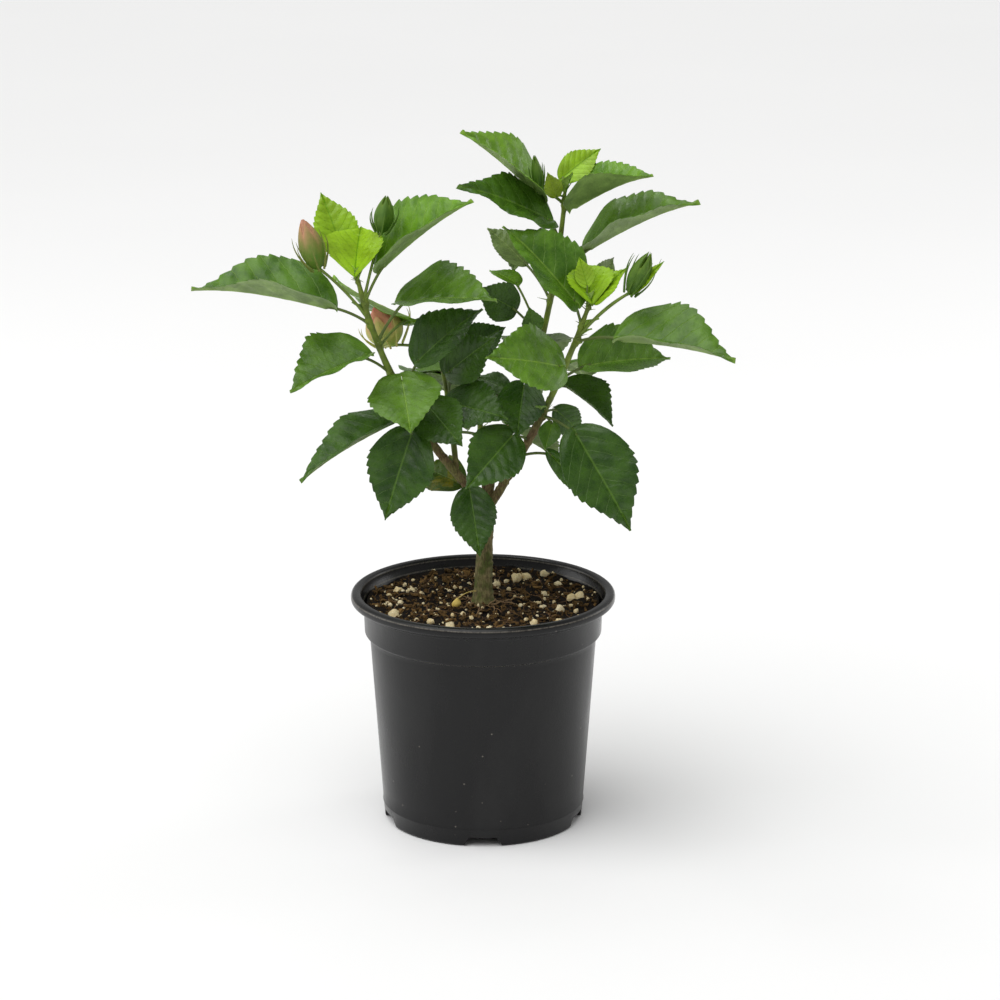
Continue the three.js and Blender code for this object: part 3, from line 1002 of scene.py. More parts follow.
@dataclass
class PottingMix:
    """Dark peat with wood chips, white perlite, fibres, surface roots and a fallen leaf."""

    seed: int = 7
    rings: int = 46
    sides: int = 132
    swell: float = 1.3
    rough: float = 1.5
    bank: float = 1.7
    fibres: int = 170
    roots: int = 15
    clear_of_trunk: float = 7.5
    lumps: tuple[Triple, ...] = ((20, 46, 4.0), (26, 47, 3.4), (37, 52, 2.6), (45, 34, 3.0),
                                 (57, 8, 3.6), (52, 5, 2.7), (-51, 24, 3.0), (-43, 22, 2.9),
                                 (-52, -24, 3.0), (-19, -50, 2.6), (45, -18, 2.6),
                                 (30, -43, 2.4), (8, 40, 2.2), (-30, -42, 2.3))

    def __post_init__(self) -> None:
        """Reads the mix's place from its frame node."""
        low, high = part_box("potting_mix")
        trunk_low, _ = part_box("trunk")
        self.centre = (low + high) / 2
        self.level = trunk_low.z - 0.35 * MM
        self.edge = (high.x - low.x) / 2 + 1.6 * MM
        self.foot = self.edge - 12 * MM
        self.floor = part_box("pot")[0].z + 6 * MM
        self.rng = random.Random(self.seed)

    def surface_height(self, x: float, y: float) -> float:
        """Gives the height of the surface, which swells, crumbles and banks at the wall.

        Args:
            x: The place's distance to the right, in metres.
            y: Its distance to the back.

        Returns:
            The height, in metres.
        """
        swell = self.swell * math.sin(x / MM * 0.11 + 1) * math.cos(y / MM * 0.09 - 0.5)
        out = math.hypot(x, y)
        near = min(1.0, out / (12 * MM))
        bank = max(0.0, out / self.edge - 0.84) / 0.16
        lumps = sum(noise.noise(Vector((x * s, y * s, 3.1))) * a
                    for s, a in ((90, 1.0), (230, 0.8), (520, 0.55)))
        return self.level + MM * (near * (swell + self.rough * lumps - 0.3) + self.bank * bank ** 2)

    def bed(self) -> bpy.types.Object:
        """Builds the body of the mix with its rough top.

        Returns:
            The finished bed.
        """
        start_piece()
        bpy.ops.mesh.primitive_circle_add(vertices=self.sides, radius=self.foot,
                                          fill_type="NGON", calc_uvs=False,
                                          location=(self.centre.x, self.centre.y, self.floor))
        bed = bpy.context.object
        bed.name = "potting_mix_bed"
        settle(bed)
        bpy.ops.object.mode_set(mode="EDIT")
        bpy.ops.mesh.select_all(action="SELECT")
        radius, height = self.foot, self.floor
        below = self.level - self.floor
        for new_radius, new_height in ((self.edge - 5.2 * MM, self.floor + below * 0.83),
                                       (self.edge - 2.6 * MM, self.floor + below * 0.95),
                                       (self.edge, self.level)):
            bpy.ops.mesh.extrude_region_move(
                TRANSFORM_OT_translate={"value": (0, 0, new_height - height)})
            share = new_radius / radius
            bpy.ops.transform.resize(value=(share, share, 1), center_override=(0, 0, 0))
            radius, height = new_radius, new_height
        for _ in range(self.rings):
            bpy.ops.mesh.inset(thickness=self.edge / (self.rings + 1.5))
        bpy.ops.mesh.poke()
        bpy.ops.mesh.select_all(action="SELECT")
        bpy.ops.mesh.normals_make_consistent(inside=False)
        bpy.ops.object.mode_set(mode="OBJECT")
        for vertex in bed.data.vertices:
            if vertex.co.z > self.level - 0.1 * MM:
                vertex.co.z = self.surface_height(vertex.co.x, vertex.co.y)
        bed.data.shade_smooth()
        peat = EarthFinish("peat", linear(14, 10, 7), linear(54, 39, 24), 520.0, 0.0022)
        bed.data.materials.append(peat.material())
        return bed

    def lump_shape(self, kind: Crumb, index: int) -> tuple[np.ndarray, Faces]:
        """Models one lump.

        Args:
            kind: Perlite or wood chip.
            index: The shape's number, which seeds its dents.

        Returns:
            Its points, about one unit across, and its faces.
        """
        start_piece()
        if kind is Crumb.PERLITE:
            bpy.ops.mesh.primitive_ico_sphere_add(subdivisions=2, radius=1, calc_uvs=False)
        else:
            bpy.ops.mesh.primitive_cube_add(size=2, calc_uvs=False)
        lump = bpy.context.object
        bpy.ops.object.mode_set(mode="EDIT")
        bpy.ops.mesh.select_all(action="SELECT")
        if kind is Crumb.CHIP:
            bpy.ops.transform.resize(value=(1.0, 0.5, 0.22), center_override=(0, 0, 0))
            bpy.ops.mesh.subdivide(number_cuts=1)
        bpy.ops.transform.vertex_random(offset=0.24 if kind is Crumb.PERLITE else 0.2,
                                        uniform=0.5, normal=0.5, seed=index + 3)
        bpy.ops.object.mode_set(mode="OBJECT")
        points = np.array([v.co[:] for v in lump.data.vertices])
        faces = [tuple(p.vertices) for p in lump.data.polygons]
        bpy.data.objects.remove(lump)
        return points, faces

    def turn(self) -> np.ndarray:
        """Picks a seeded turn.

        Returns:
            The turn as a matrix.
        """
        axis = np.array([self.rng.gauss(0, 1) for _ in range(3)])
        axis /= np.linalg.norm(axis)
        angle = self.rng.uniform(0, math.tau)
        x, y, z = axis
        cross = np.array([[0, -z, y], [z, 0, -x], [-y, x, 0]])
        return np.eye(3) + math.sin(angle) * cross + (1 - math.cos(angle)) * cross @ cross

    def spot(self, clear: float) -> tuple[float, float]:
        """Picks a seeded place on the surface, clear of the trunk and the wall.

        Args:
            clear: The least distance from the wall, in metres.

        Returns:
            The place.
        """
        while True:
            x = self.rng.uniform(-1, 1) * self.edge
            y = self.rng.uniform(-1, 1) * self.edge
            if self.clear_of_trunk * MM < math.hypot(x, y) < self.edge - clear:
                return x, y

    def scatter(self, kind: Crumb) -> Heap:
        """Lays all the lumps of one kind on the surface, half sunk.

        Args:
            kind: Perlite or wood chip.

        Returns:
            The heap of lumps.
        """
        shapes = [self.lump_shape(kind, index) for index in range(kind.shapes)]
        heap = Heap()
        places = []
        for _ in range(kind.number):
            size = kind.sizes[0] + (kind.sizes[1] - kind.sizes[0]) * self.rng.random() ** 2
            places.append((*self.spot(size * MM), size))
        if kind is Crumb.PERLITE:
            places += [(x * MM, y * MM, size) for x, y, size in self.lumps]
        for x, y, size in places:
            points, faces = self.rng.choice(shapes)
            spread = np.array([self.rng.uniform(0.75, 1.25) for _ in range(3)])
            body = (points * spread) @ self.turn().T * size * MM
            lift = self.surface_height(x, y) + size * self.rng.uniform(0.0, 0.45) * MM
            heap.add(body + np.array([x, y, lift]), faces, 0, self.rng.random() ** 2)
        return heap

    def strand(self, length: float, radius: float, start: tuple[float, float],
               heap: Heap, wander: float, height: float) -> None:
        """Lays one curling fibre or root on the surface.

        Args:
            length: Its length, in millimetres.
            radius: Its radius at the thick end.
            start: Where it starts, in metres.
            heap: Where it goes.
            wander: How far it may turn at each step, in radians.
            height: How high its middle stands, in millimetres.
        """
        x, y = start
        heading = self.rng.uniform(0, math.tau)
        points = []
        steps = max(6, int(length / 1.6))
        for step in range(steps):
            hump = height * math.sin(math.pi * step / (steps - 1)) * MM
            points.append((x, y, self.surface_height(x, y) + hump + radius * 0.4 * MM))
            heading += self.rng.uniform(-wander, wander)
            x += math.cos(heading) * length / steps * MM
            y += math.sin(heading) * length / steps * MM
            if math.hypot(x, y) > self.edge - 1.5 * MM:
                break
        if len(points) < 4:
            return
        shares = np.linspace(0, 1, len(points))
        radii = radius * MM * (1 - 0.6 * shares)
        sweep(heap, np.array(points), radii, 5, 0, self.rng.random())

    def litter(self) -> tuple[Heap, Heap]:
        """Lays the fibres and the thicker surface roots.

        Returns:
            The heap of fibres and the heap of roots.
        """
        fibres, roots = Heap(), Heap()
        for _ in range(self.fibres):
            self.strand(self.rng.uniform(6, 18), self.rng.uniform(0.12, 0.26), self.spot(2 * MM),
                        fibres, 0.7, self.rng.uniform(0.2, 1.4))
        for index in range(self.roots):
            angle = math.tau * index / self.roots + self.rng.uniform(-0.3, 0.3)
            start = (math.cos(angle) * 8 * MM, math.sin(angle) * 8 * MM)
            self.strand(self.rng.uniform(14, 34), self.rng.uniform(0.35, 0.75), start, roots,
                        0.35, 1.0)
        return fibres, roots

    def fallen_leaf(self) -> Heap:
        """Lays the small yellow leaf and its thread of stalk beside the trunk.

        Returns:
            The heap that holds both.
        """
        heap = Heap()
        base = np.array([-15.0, -7.0, 0.0]) * MM
        base[2] = self.surface_height(base[0], base[1]) + 6.2 * MM
        rows, columns = 9, 7
        shares = np.linspace(0, 1, rows)[:, None]
        width = 2.7 * np.sin(math.pi * np.clip(shares, 0.02, 0.98) ** 0.9)
        cup = np.linspace(-1, 1, columns)[None, :]
        x = -1.4 * shares + cup * width
        y = -2.4 + 1.3 * cup ** 2 - 1.5 * np.sin(math.pi * shares)
        z = np.broadcast_to(-7.0 * shares, x.shape)
        front = np.stack([x, y, z], axis=-1).reshape(-1, 3) * MM + base
        back = front + np.array([0, 0.5 * MM, 0])
        heap.add(np.vstack([front, back]), sum(slab_faces(rows, columns), []), 0, 0.2)
        shares = np.linspace(0, 1, 14)[:, None]
        stalk = base + np.array([0, -2.4, 0]) * MM + MM * np.hstack(
            [13.5 * shares, 7.0 * shares, 3.2 * np.sin(math.pi * shares * 0.8)])
        sweep(heap, stalk, np.full(14, 0.28 * MM), 6, 0, 0.6)
        return heap

    def build(self) -> list[bpy.types.Object]:
        """Builds the bed and everything that lies on it.

        Returns:
            The pieces, with the bed first.
        """
        chips = EarthFinish("wood_chips", linear(20, 14, 8), linear(146, 113, 66), 900.0, 0.0006)
        stone = EarthFinish("perlite", linear(232, 206, 148), linear(255, 247, 216), 900.0, 0.0005)
        fibre = GreenFinish("peat_fibre", linear(70, 46, 30), linear(140, 108, 74), 200.0, 0.8)
        root = GreenFinish("surface_root", linear(108, 84, 56), linear(150, 122, 86), 200.0, 0.75)
        yellow = GreenFinish("fallen_leaf", linear(214, 184, 84), linear(236, 214, 140), 260.0)
        fibres, roots = self.litter()
        return [self.bed(),
                self.scatter(Crumb.CHIP).build("bark_chips", [chips.material()], 20),
                self.scatter(Crumb.PERLITE).build("perlite", [stone.material()], 70),
                fibres.build("peat_fibres", [fibre.material()]),
                roots.build("surface_roots", [root.material()]),
                self.fallen_leaf().build("fallen_leaf", [yellow.material()])]


# ------------------------------------------------------------------------------- limbs


# A noise's scale along each axis, and the height of its relief in millimetres.
BARK_GRAIN = (((420, 420, 130), 0.32), ((900, 900, 260), 0.16))
LIMB_WAVES = ((90, 90, 40), 0.3)


@dataclass
class Limb:
    """A trunk, bough or stem that turns evenly from one heading and rise to another.

    green is where the wood starts to turn green and where it ends, as shares of the way.
    """

    start: np.ndarray
    length: float
    headings: tuple[float, float]
    rises: tuple[float, float]
    radii: tuple[float, float]
    flare: float = 0.0
    green: tuple[float, float] = (0.0, 1.0)
    sides: int = 28
    sunk: float = 0.0
    slim: float = 0.92
    bow: Triple = (0.0, 0.0, 0.0)
    bow_end: float = 0.33

    def __post_init__(self) -> None:
        """Works out the limb's line in short, even steps, bowed aside over its first stretch."""
        self.steps = max(60, int(self.length * 1.6))
        shares = (np.arange(self.steps) + 0.5) / self.steps
        ways = np.array([direction(np.interp(s, (0, 1), self.headings),
                                   np.interp(s, (0, 1), self.rises)) for s in shares])
        course = np.cumsum(ways, axis=0) * self.length / self.steps * MM
        self.line = np.vstack([self.start, self.start + course])
        share = np.clip(np.linspace(0, 1, self.steps + 1) / self.bow_end, 0, 1)[:, None]
        self.line = self.line + np.array(self.bow) * MM * 4 * share * (1 - share)

    def point(self, share: float) -> np.ndarray:
        """Finds a point of the limb.

        Args:
            share: The share of the way along it.

        Returns:
            The point, in metres.
        """
        place = np.clip(share, 0, 1) * self.steps
        return np.array([np.interp(place, np.arange(self.steps + 1), self.line[:, axis])
                         for axis in range(3)])

    def radius(self, share: Union[float, np.ndarray]) -> np.ndarray:
        """Gives the smooth radius of the limb.

        Args:
            share: One share of the way along it, or many.

        Returns:
            The radius at each, in metres.
        """
        share = np.asarray(share, float)
        plain = (self.radii[0] + (self.radii[1] - self.radii[0]) * share) * self.slim
        tip = 1 - 0.5 * np.clip((share - 0.93) / 0.07, 0, 1) * (self.flare == 0)
        return (plain * tip + self.flare * np.exp(-share * 9)) * MM

    def swelling(self, shares: np.ndarray, share: float, past: float, reach: float) -> np.ndarray:
        """Gives how far each place lies within a swelling round the limb.

        Args:
            shares: The places, as shares of the way along the limb.
            share: The place that the swelling belongs to.
            past: How far beyond it the swelling is highest, in millimetres.
            reach: How far the swelling fades out over, in millimetres.

        Returns:
            A value for each place, 1 where the swelling is highest.
        """
        return np.exp(-((shares - share - past / self.length) * self.length / reach) ** 2)

    def bark(self, heap: Heap, nodes: Sequence[tuple[float, float]]) -> None:
        """Sweeps the limb with the relief of its bark, its leaf nodes and its old scars.

        Args:
            heap: Where the limb's mesh goes.
            nodes: For each leaf, its share of the way and the heading of its stalk.
        """
        shares = np.linspace(0, 1, len(self.line))
        radii = self.radius(shares)
        first, second = frames_along(self.line)
        angles = np.linspace(0, math.tau, self.sides, endpoint=False)
        out = (first[:, None, :] * np.cos(angles)[None, :, None]
               + second[:, None, :] * np.sin(angles)[None, :, None])
        surface = self.line[:, None, :] + out * radii[:, None, None]
        wood = np.clip((self.green[1] - shares) / max(self.green[1] - self.green[0], 0.01), 0, 1)
        rough = 0.05 + 0.95 * wood
        grain = sum(smooth_noise(surface, scale) * height for scale, height in BARK_GRAIN)
        relief = grain * MM * rough[:, None]
        relief += smooth_noise(surface, LIMB_WAVES[0]) * LIMB_WAVES[1] * MM
        for up, heading in nodes:
            side = np.clip(out @ direction(heading, 10), 0, 1) ** 2
            bulge = self.swelling(shares, up, 0.0, 2.4)
            collar = self.swelling(shares, up, -0.9, 0.9)
            relief += (bulge[:, None] * side * 0.7 + collar[:, None] * (0.12 + side * 0.35)) * MM
        rng = random.Random(int(self.length) + 5)
        scar = 0.1
        while scar < self.green[0] + 0.25:
            heading = rng.uniform(0, 360)
            side = np.clip(out @ direction(heading, 0), 0, 1) ** 1.5
            ridge = self.swelling(shares, scar, 0.0, 0.8)
            groove = self.swelling(shares, scar, 1.6, 0.8)
            relief += (ridge[:, None] * (0.1 + 0.4 * side) - groove[:, None] * 0.3 * side) * MM
            scar += rng.uniform(5, 12) / self.length
        line = self.line.copy()
        line[0] -= (line[1] - line[0]) / np.linalg.norm(line[1] - line[0]) * self.sunk * MM
        sweep(heap, line, radii, self.sides, 0, 1 - wood, relief)


# The share of the way, heading, rise, length and radius of each dry stub.
STUBS: dict[str, tuple[tuple[float, ...], ...]] = {
    "trunk": ((0.63, -20, 15, 2.2, 1.3), (0.93, 170, 30, 2.0, 1.2)),
    "right_bough": ((0.05, -30, 20, 2.6, 0.9), (0.16, 0, 20, 3.0, 0.9),
                    (0.2, 200, 20, 2.2, 0.9), (0.3, -60, 20, 2.0, 0.9)),
    "left_bough": ((0.08, 220, 20, 2.4, 0.9), (0.24, 150, 20, 2.4, 0.9)),
}


@dataclass
class Skeleton:
    """The trunk, its three boughs and two stems, set up from the pot's centre."""

    def __post_init__(self) -> None:
        """Places the trunk on the mix and each bough on what bears it."""
        low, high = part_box("pot")
        foot = np.array([(low.x + high.x) / 2, (low.y + high.y) / 2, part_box("trunk")[0].z])
        trunk = Limb(foot, length=62, headings=(0, 0), rises=(89, 86), radii=(5.5, 5.0),
                     flare=2.0, green=(1.3, 2.0), sides=44, sunk=2.5)
        fork = trunk.point(1)

        def below(drop: float) -> np.ndarray:
            """Gives the point that lies a drop, in millimetres, under the fork."""
            return fork - np.array([0, 0, drop * MM])

        left = Limb(below(3), length=160, headings=(186, 194), rises=(45, 78), radii=(3.2, 1.7),
                    green=(0.22, 0.5))
        right = Limb(below(5), length=142, headings=(350, 330), rises=(58, 70), radii=(3.2, 1.6),
                     green=(0.36, 0.6), slim=0.86)
        centre = Limb(below(2), length=190, headings=(30, 10), rises=(64, 86), radii=(3.4, 1.6),
                      green=(0.3, 0.55), slim=0.8, bow=(-4.5, 0.5, 0.0))
        back = Limb(below(4), length=78, headings=(105, 95), rises=(62, 68), radii=(2.4, 1.5),
                    green=(0.1, 0.5))
        inner = Limb(left.point(0.17), length=78, headings=(110, 160), rises=(78, 78),
                     radii=(2.0, 1.2), green=(0.0, 0.3))
        self.limbs = {"trunk": trunk, "left_bough": left, "right_bough": right,
                      "centre_bough": centre, "back_stem": back, "inner_stem": inner}

    def stub(self, heap: Heap, limb: Limb, share: float, heading: float, rise: float,
             length: float, radius: float) -> None:
        """Adds the dry stub of a pruned or fallen side shoot.

        Args:
            heap: Where it goes.
            limb: The limb that bears it.
            share: The share of the way along the limb.
            heading: Its heading, in degrees.
            rise: Its rise, in degrees.
            length: Its length, in millimetres.
            radius: Its radius.
        """
        way = direction(heading, rise)
        start = limb.point(share) + way * float(limb.radius(share)) * 0.6
        shares = np.linspace(0, 1, 7)
        line = start + way * (shares * length * MM)[:, None]
        radii = radius * MM * np.array([1.35, 1.1, 1.0, 0.95, 1.0, 0.9, 0.45])
        sweep(heap, line, radii, 12, 0, 0.0)

    def build(self, nodes: dict[str, list[tuple[float, float]]]
              ) -> list[tuple[bpy.types.Object, str]]:
        """Builds each limb as its own piece, with the stubs on the older wood.

        Args:
            nodes: For each limb, where its leaves leave it.

        Returns:
            Each piece with its limb's name.
        """
        bark = BarkFinish().material()
        mossy = BarkFinish("trunk_bark", linear(144, 132, 92), linear(66, 54, 36),
                           linear(90, 102, 46)).material()
        pieces = []
        for name, limb in self.limbs.items():
            heap = Heap()
            limb.bark(heap, nodes.get(name, []))
            for stub in STUBS.get(name, ()):
                self.stub(heap, limb, *stub)
            piece = heap.build(f"{name}_bark", [mossy if name == "trunk" else bark], 75)
            pieces.append((piece, name))
        return pieces


# ------------------------------------------------------------------------------- leaves and buds


@dataclass(frozen=True)
class LeafPlan:
    """Where a leaf grows and how it is held, in millimetres and degrees.

    up is the share of the way along the limb. stalk gives length, heading and rise. blade gives
    length, width, heading, pitch and roll of the upper face and, for some, its fold.
    """

    up: float
    stalk: Triple
    blade: tuple[float, ...]
    tone: Tone = Tone.MATURE
    wedge: bool = False


class BudStage(Enum):
    """How far a bud has come.

    The values are the mean height of the calyx, the height of its lobes, the heights of petals and
    bractlets, all as shares of the bud, the calyx's flush, and the slots of sepals and petals.
    """

    CLOSED = (0.86, 0.14, 0.78, 0.72, 0.5, 0, 0)
    OPENING = (0.84, 0.12, 1.0, 0.72, 1.0, 4, 1)
    BURSTING = (0.8, 0.22, 0.66, 0.95, 0.5, 0, 0)
    FADED = (0.6, 0.18, 1.0, 0.72, 1.0, 2, 3)


@dataclass(frozen=True)
class BudPlan:
    """Where a bud grows and how it is held, in millimetres and degrees."""

    up: float
    stalk: Triple
    blade: tuple[float, ...]
    stage: BudStage = BudStage.CLOSED


DARK, MATURE, MIDDLE, LIGHT = Tone.DARK, Tone.MATURE, Tone.MIDDLE, Tone.LIGHT
YOUNG, OLIVE, PALE, AGEING = Tone.YOUNG, Tone.OLIVE, Tone.PALE, Tone.AGEING

TIERS: dict[str, tuple[str, list]] = {
    "fork_foliage": ("left_bough", [
        LeafPlan(.10, (11, 125, 1), (31, 26, 139, 8, -40), AGEING),
        LeafPlan(.10, (10, 274, 0), (39, 27, 295, -66, 25), DARK)]),
    "left_low_foliage": ("left_bough", [
        LeafPlan(.37, (15, 241, 6), (52, 39, 216, -67, -50), DARK),
        LeafPlan(.41, (15, 190, 4), (64, 34, 186, -31, -13, 30), MATURE),
        LeafPlan(.37, (18, 294, 64), (34, 30, 311, -31, 46), DARK)]),
    "left_middle_foliage": ("left_bough", [
        LeafPlan(.55, (12, 282, 40), (41, 42, 280, -32, 12, 10), MIDDLE),
        LeafPlan(.53, (25, 334, 63), (47, 34, 6, 40, 38, 24), DARK),
        LeafPlan(.54, (34, 72, 6), (60, 42, 70, -24, 0), MIDDLE)]),
    "left_outer_foliage": ("left_bough", [
        LeafPlan(.62, (22, 205, 33), (47, 44, 204, -20, -14, 31), MIDDLE)]),
    "left_inner_foliage": ("left_bough", [
        LeafPlan(.73, (31, 55, 22), (54, 28, 156, 22, -152), LIGHT),
        LeafPlan(.75, (30, 345, 56), (57, 46, 339, 6, 20, 26), MIDDLE)]),
    "left_far_foliage": ("left_bough", [
        LeafPlan(.82, (28, 184, 23), (78, 46, 177, 8, -8, 37), MIDDLE),
        BudPlan(.84, (43, 194, 47), (30, 14, 193, 73, 0), BudStage.OPENING)]),
    "left_high_foliage": ("left_bough", [
        LeafPlan(.90, (26, 346, 63), (66, 46, 346, 38, 23, 33), LIGHT),
        BudPlan(.91, (43, 336, 74), (22, 11, 327, 80, 0))]),
    "left_tip_foliage": ("left_bough", [
        LeafPlan(.99, (19, 140, 52), (37, 26, 135, 62, -28), YOUNG),
        LeafPlan(.99, (4, 233, 38), (31, 36, 80, 60, -4, 34), YOUNG, True)]),
    "inner_low_foliage": ("inner_stem", [
        LeafPlan(.40, (16, 267, 53), (40, 34, 327, -6, 41), DARK),
        LeafPlan(.42, (26, 80, 0), (52, 38, 84, -28, 0), MATURE)]),
    "inner_high_foliage": ("inner_stem", [
        LeafPlan(.52, (21, 286, 82), (35, 30, 343, 39, 74), DARK),
        LeafPlan(.60, (28, 35, 61), (27, 22, 15, 29, 56), DARK)]),
    "inner_tip_foliage": ("inner_stem", [
        LeafPlan(.95, (9, 60, 20), (20, 18, 130, 10, -160), PALE),
        BudPlan(.92, (30, 158, 2), (26, 22, 165, 69, 0), BudStage.FADED)]),
    "right_fork_foliage": ("right_bough", [
        LeafPlan(.27, (19, 19, -2), (46, 13, 30, -46, 100, 20), MATURE),
        LeafPlan(.35, (17, 230, 18), (44, 34, 225, -33, -48), DARK)]),
    "right_low_foliage": ("right_bough", [
        LeafPlan(.47, (29, 315, -13), (63, 44, 332, -57, 42, 18), DARK),
        LeafPlan(.48, (15, 57, -4), (26, 18, 39, -41, 100), MATURE),
        LeafPlan(.48, (8, 330, -40), (16, 13, 240, -62, -29), MIDDLE)]),
    "right_middle_foliage": ("right_bough", [
        LeafPlan(.63, (23, 27, 21), (50, 44, 19, 0, 25, 25), MIDDLE),
        LeafPlan(.69, (13, 255, 24), (53, 42, 216, 14, -53), MIDDLE),
        LeafPlan(.67, (30, 80, 0), (58, 40, 78, -22, 0), MIDDLE)]),
    "right_far_foliage": ("right_bough", [
        LeafPlan(.82, (33, 327, 10), (66, 48, 344, -6, 13, 33), MIDDLE),
        BudPlan(.84, (44, 336, 42), (27, 12, 338, 64, 0), BudStage.BURSTING),
        LeafPlan(.84, (45, 337, 42), (26, 8, 350, 44, 70, 34), YOUNG),
        LeafPlan(.84, (45, 337, 42), (18, 6, 320, 70, 40, 34), YOUNG)]),
    "right_high_foliage": ("right_bough", [
        LeafPlan(.90, (18, 230, 65), (58, 46, 174, 46, -29, 24), MIDDLE)]),
    "right_tip_foliage": ("right_bough", [
        LeafPlan(.97, (16, 268, 76), (17, 11, 180, 75, -86), YOUNG),
        LeafPlan(.98, (16, 70, 42), (22, 17, 47, 40, 82), PALE),
        LeafPlan(.99, (4, 304, 20), (25, 27, 110, 58, -10, 36), YOUNG, True),
        LeafPlan(.99, (5, 350, 40), (26, 15, 8, 46, 40, 26), YOUNG)]),
    "centre_low_foliage": ("centre_bough", [
        LeafPlan(.33, (16, 131, 21), (23, 15, 148, 13, -40), DARK),
        LeafPlan(.37, (24, 1, 6), (35, 32, 339, -36, 7, 30), DARK),
        LeafPlan(.38, (15, 258, 14), (31, 28, 254, -57, -16, 20), DARK),
        LeafPlan(.35, (30, 100, -4), (58, 40, 98, -34, 0), MATURE)]),
    "centre_middle_foliage": ("centre_bough", [
        LeafPlan(.53, (26, 182, 50), (27, 24, 207, 31, -88), DARK),
        LeafPlan(.53, (38, 134, 56), (22, 18, 137, 12, 0), LIGHT),
        LeafPlan(.53, (10, 228, 53), (15, 13, 233, 69, -137), MATURE),
        LeafPlan(.51, (34, 92, -4), (60, 42, 90, -30, 0), MATURE)]),
    "centre_side_foliage": ("centre_bough", [
        LeafPlan(.66, (30, 131, 39), (30, 22, 155, 38, -35, 24), PALE),
        LeafPlan(.69, (34, 358, 49), (69, 44, 351, 26, 9, 30), MIDDLE)]),
    "centre_high_foliage": ("centre_bough", [
        LeafPlan(.81, (25, 242, 59), (65, 36, 210, 24, -38, 18), MATURE),
        LeafPlan(.84, (32, 196, 65), (63, 42, 207, 39, -27, 26), LIGHT),
        LeafPlan(.82, (28, 112, -4), (54, 38, 108, -26, 0), MIDDLE)]),
    "centre_tip_foliage": ("centre_bough", [
        LeafPlan(.95, (8, 330, 10), (50, 40, 344, 26, 3, 36), LIGHT),
        BudPlan(.96, (20, 213, 30), (21, 6, 214, 80, 0)),
        LeafPlan(.98, (9, 234, 15), (15, 11, 203, 69, -106), OLIVE),
        LeafPlan(.98, (14, 95, 45), (28, 18, 20, 34, 52), YOUNG)]),
    "back_low_foliage": ("back_stem", [
        LeafPlan(.55, (24, 146, -6), (50, 36, 142, -36, 0), MATURE),
        LeafPlan(.60, (24, 40, -6), (48, 34, 44, -36, 0), MATURE)]),
    "back_tip_foliage": ("back_stem", [
        LeafPlan(.97, (14, 180, 15), (38, 28, 165, -4, 0), MIDDLE),
        LeafPlan(.98, (20, 100, 20), (48, 34, 100, -8, 0), MIDDLE)]),
}


def basis(heading: float, pitch: float, roll: float) -> np.ndarray:
    """Gives the directions of a leaf or bud.

    Args:
        heading: The heading of its midrib, in degrees.
        pitch: The midrib's angle over the level.
        roll: Its turn about the midrib.

    Returns:
        The unit vectors along, across and up, as rows.
    """
    axis = direction(heading, pitch)
    side = direction(heading - 90, 0)
    face = np.cross(side, axis)
    turn = math.radians(roll)
    normal = face * math.cos(turn) + side * math.sin(turn)
    return np.array([axis, np.cross(normal, axis), normal])


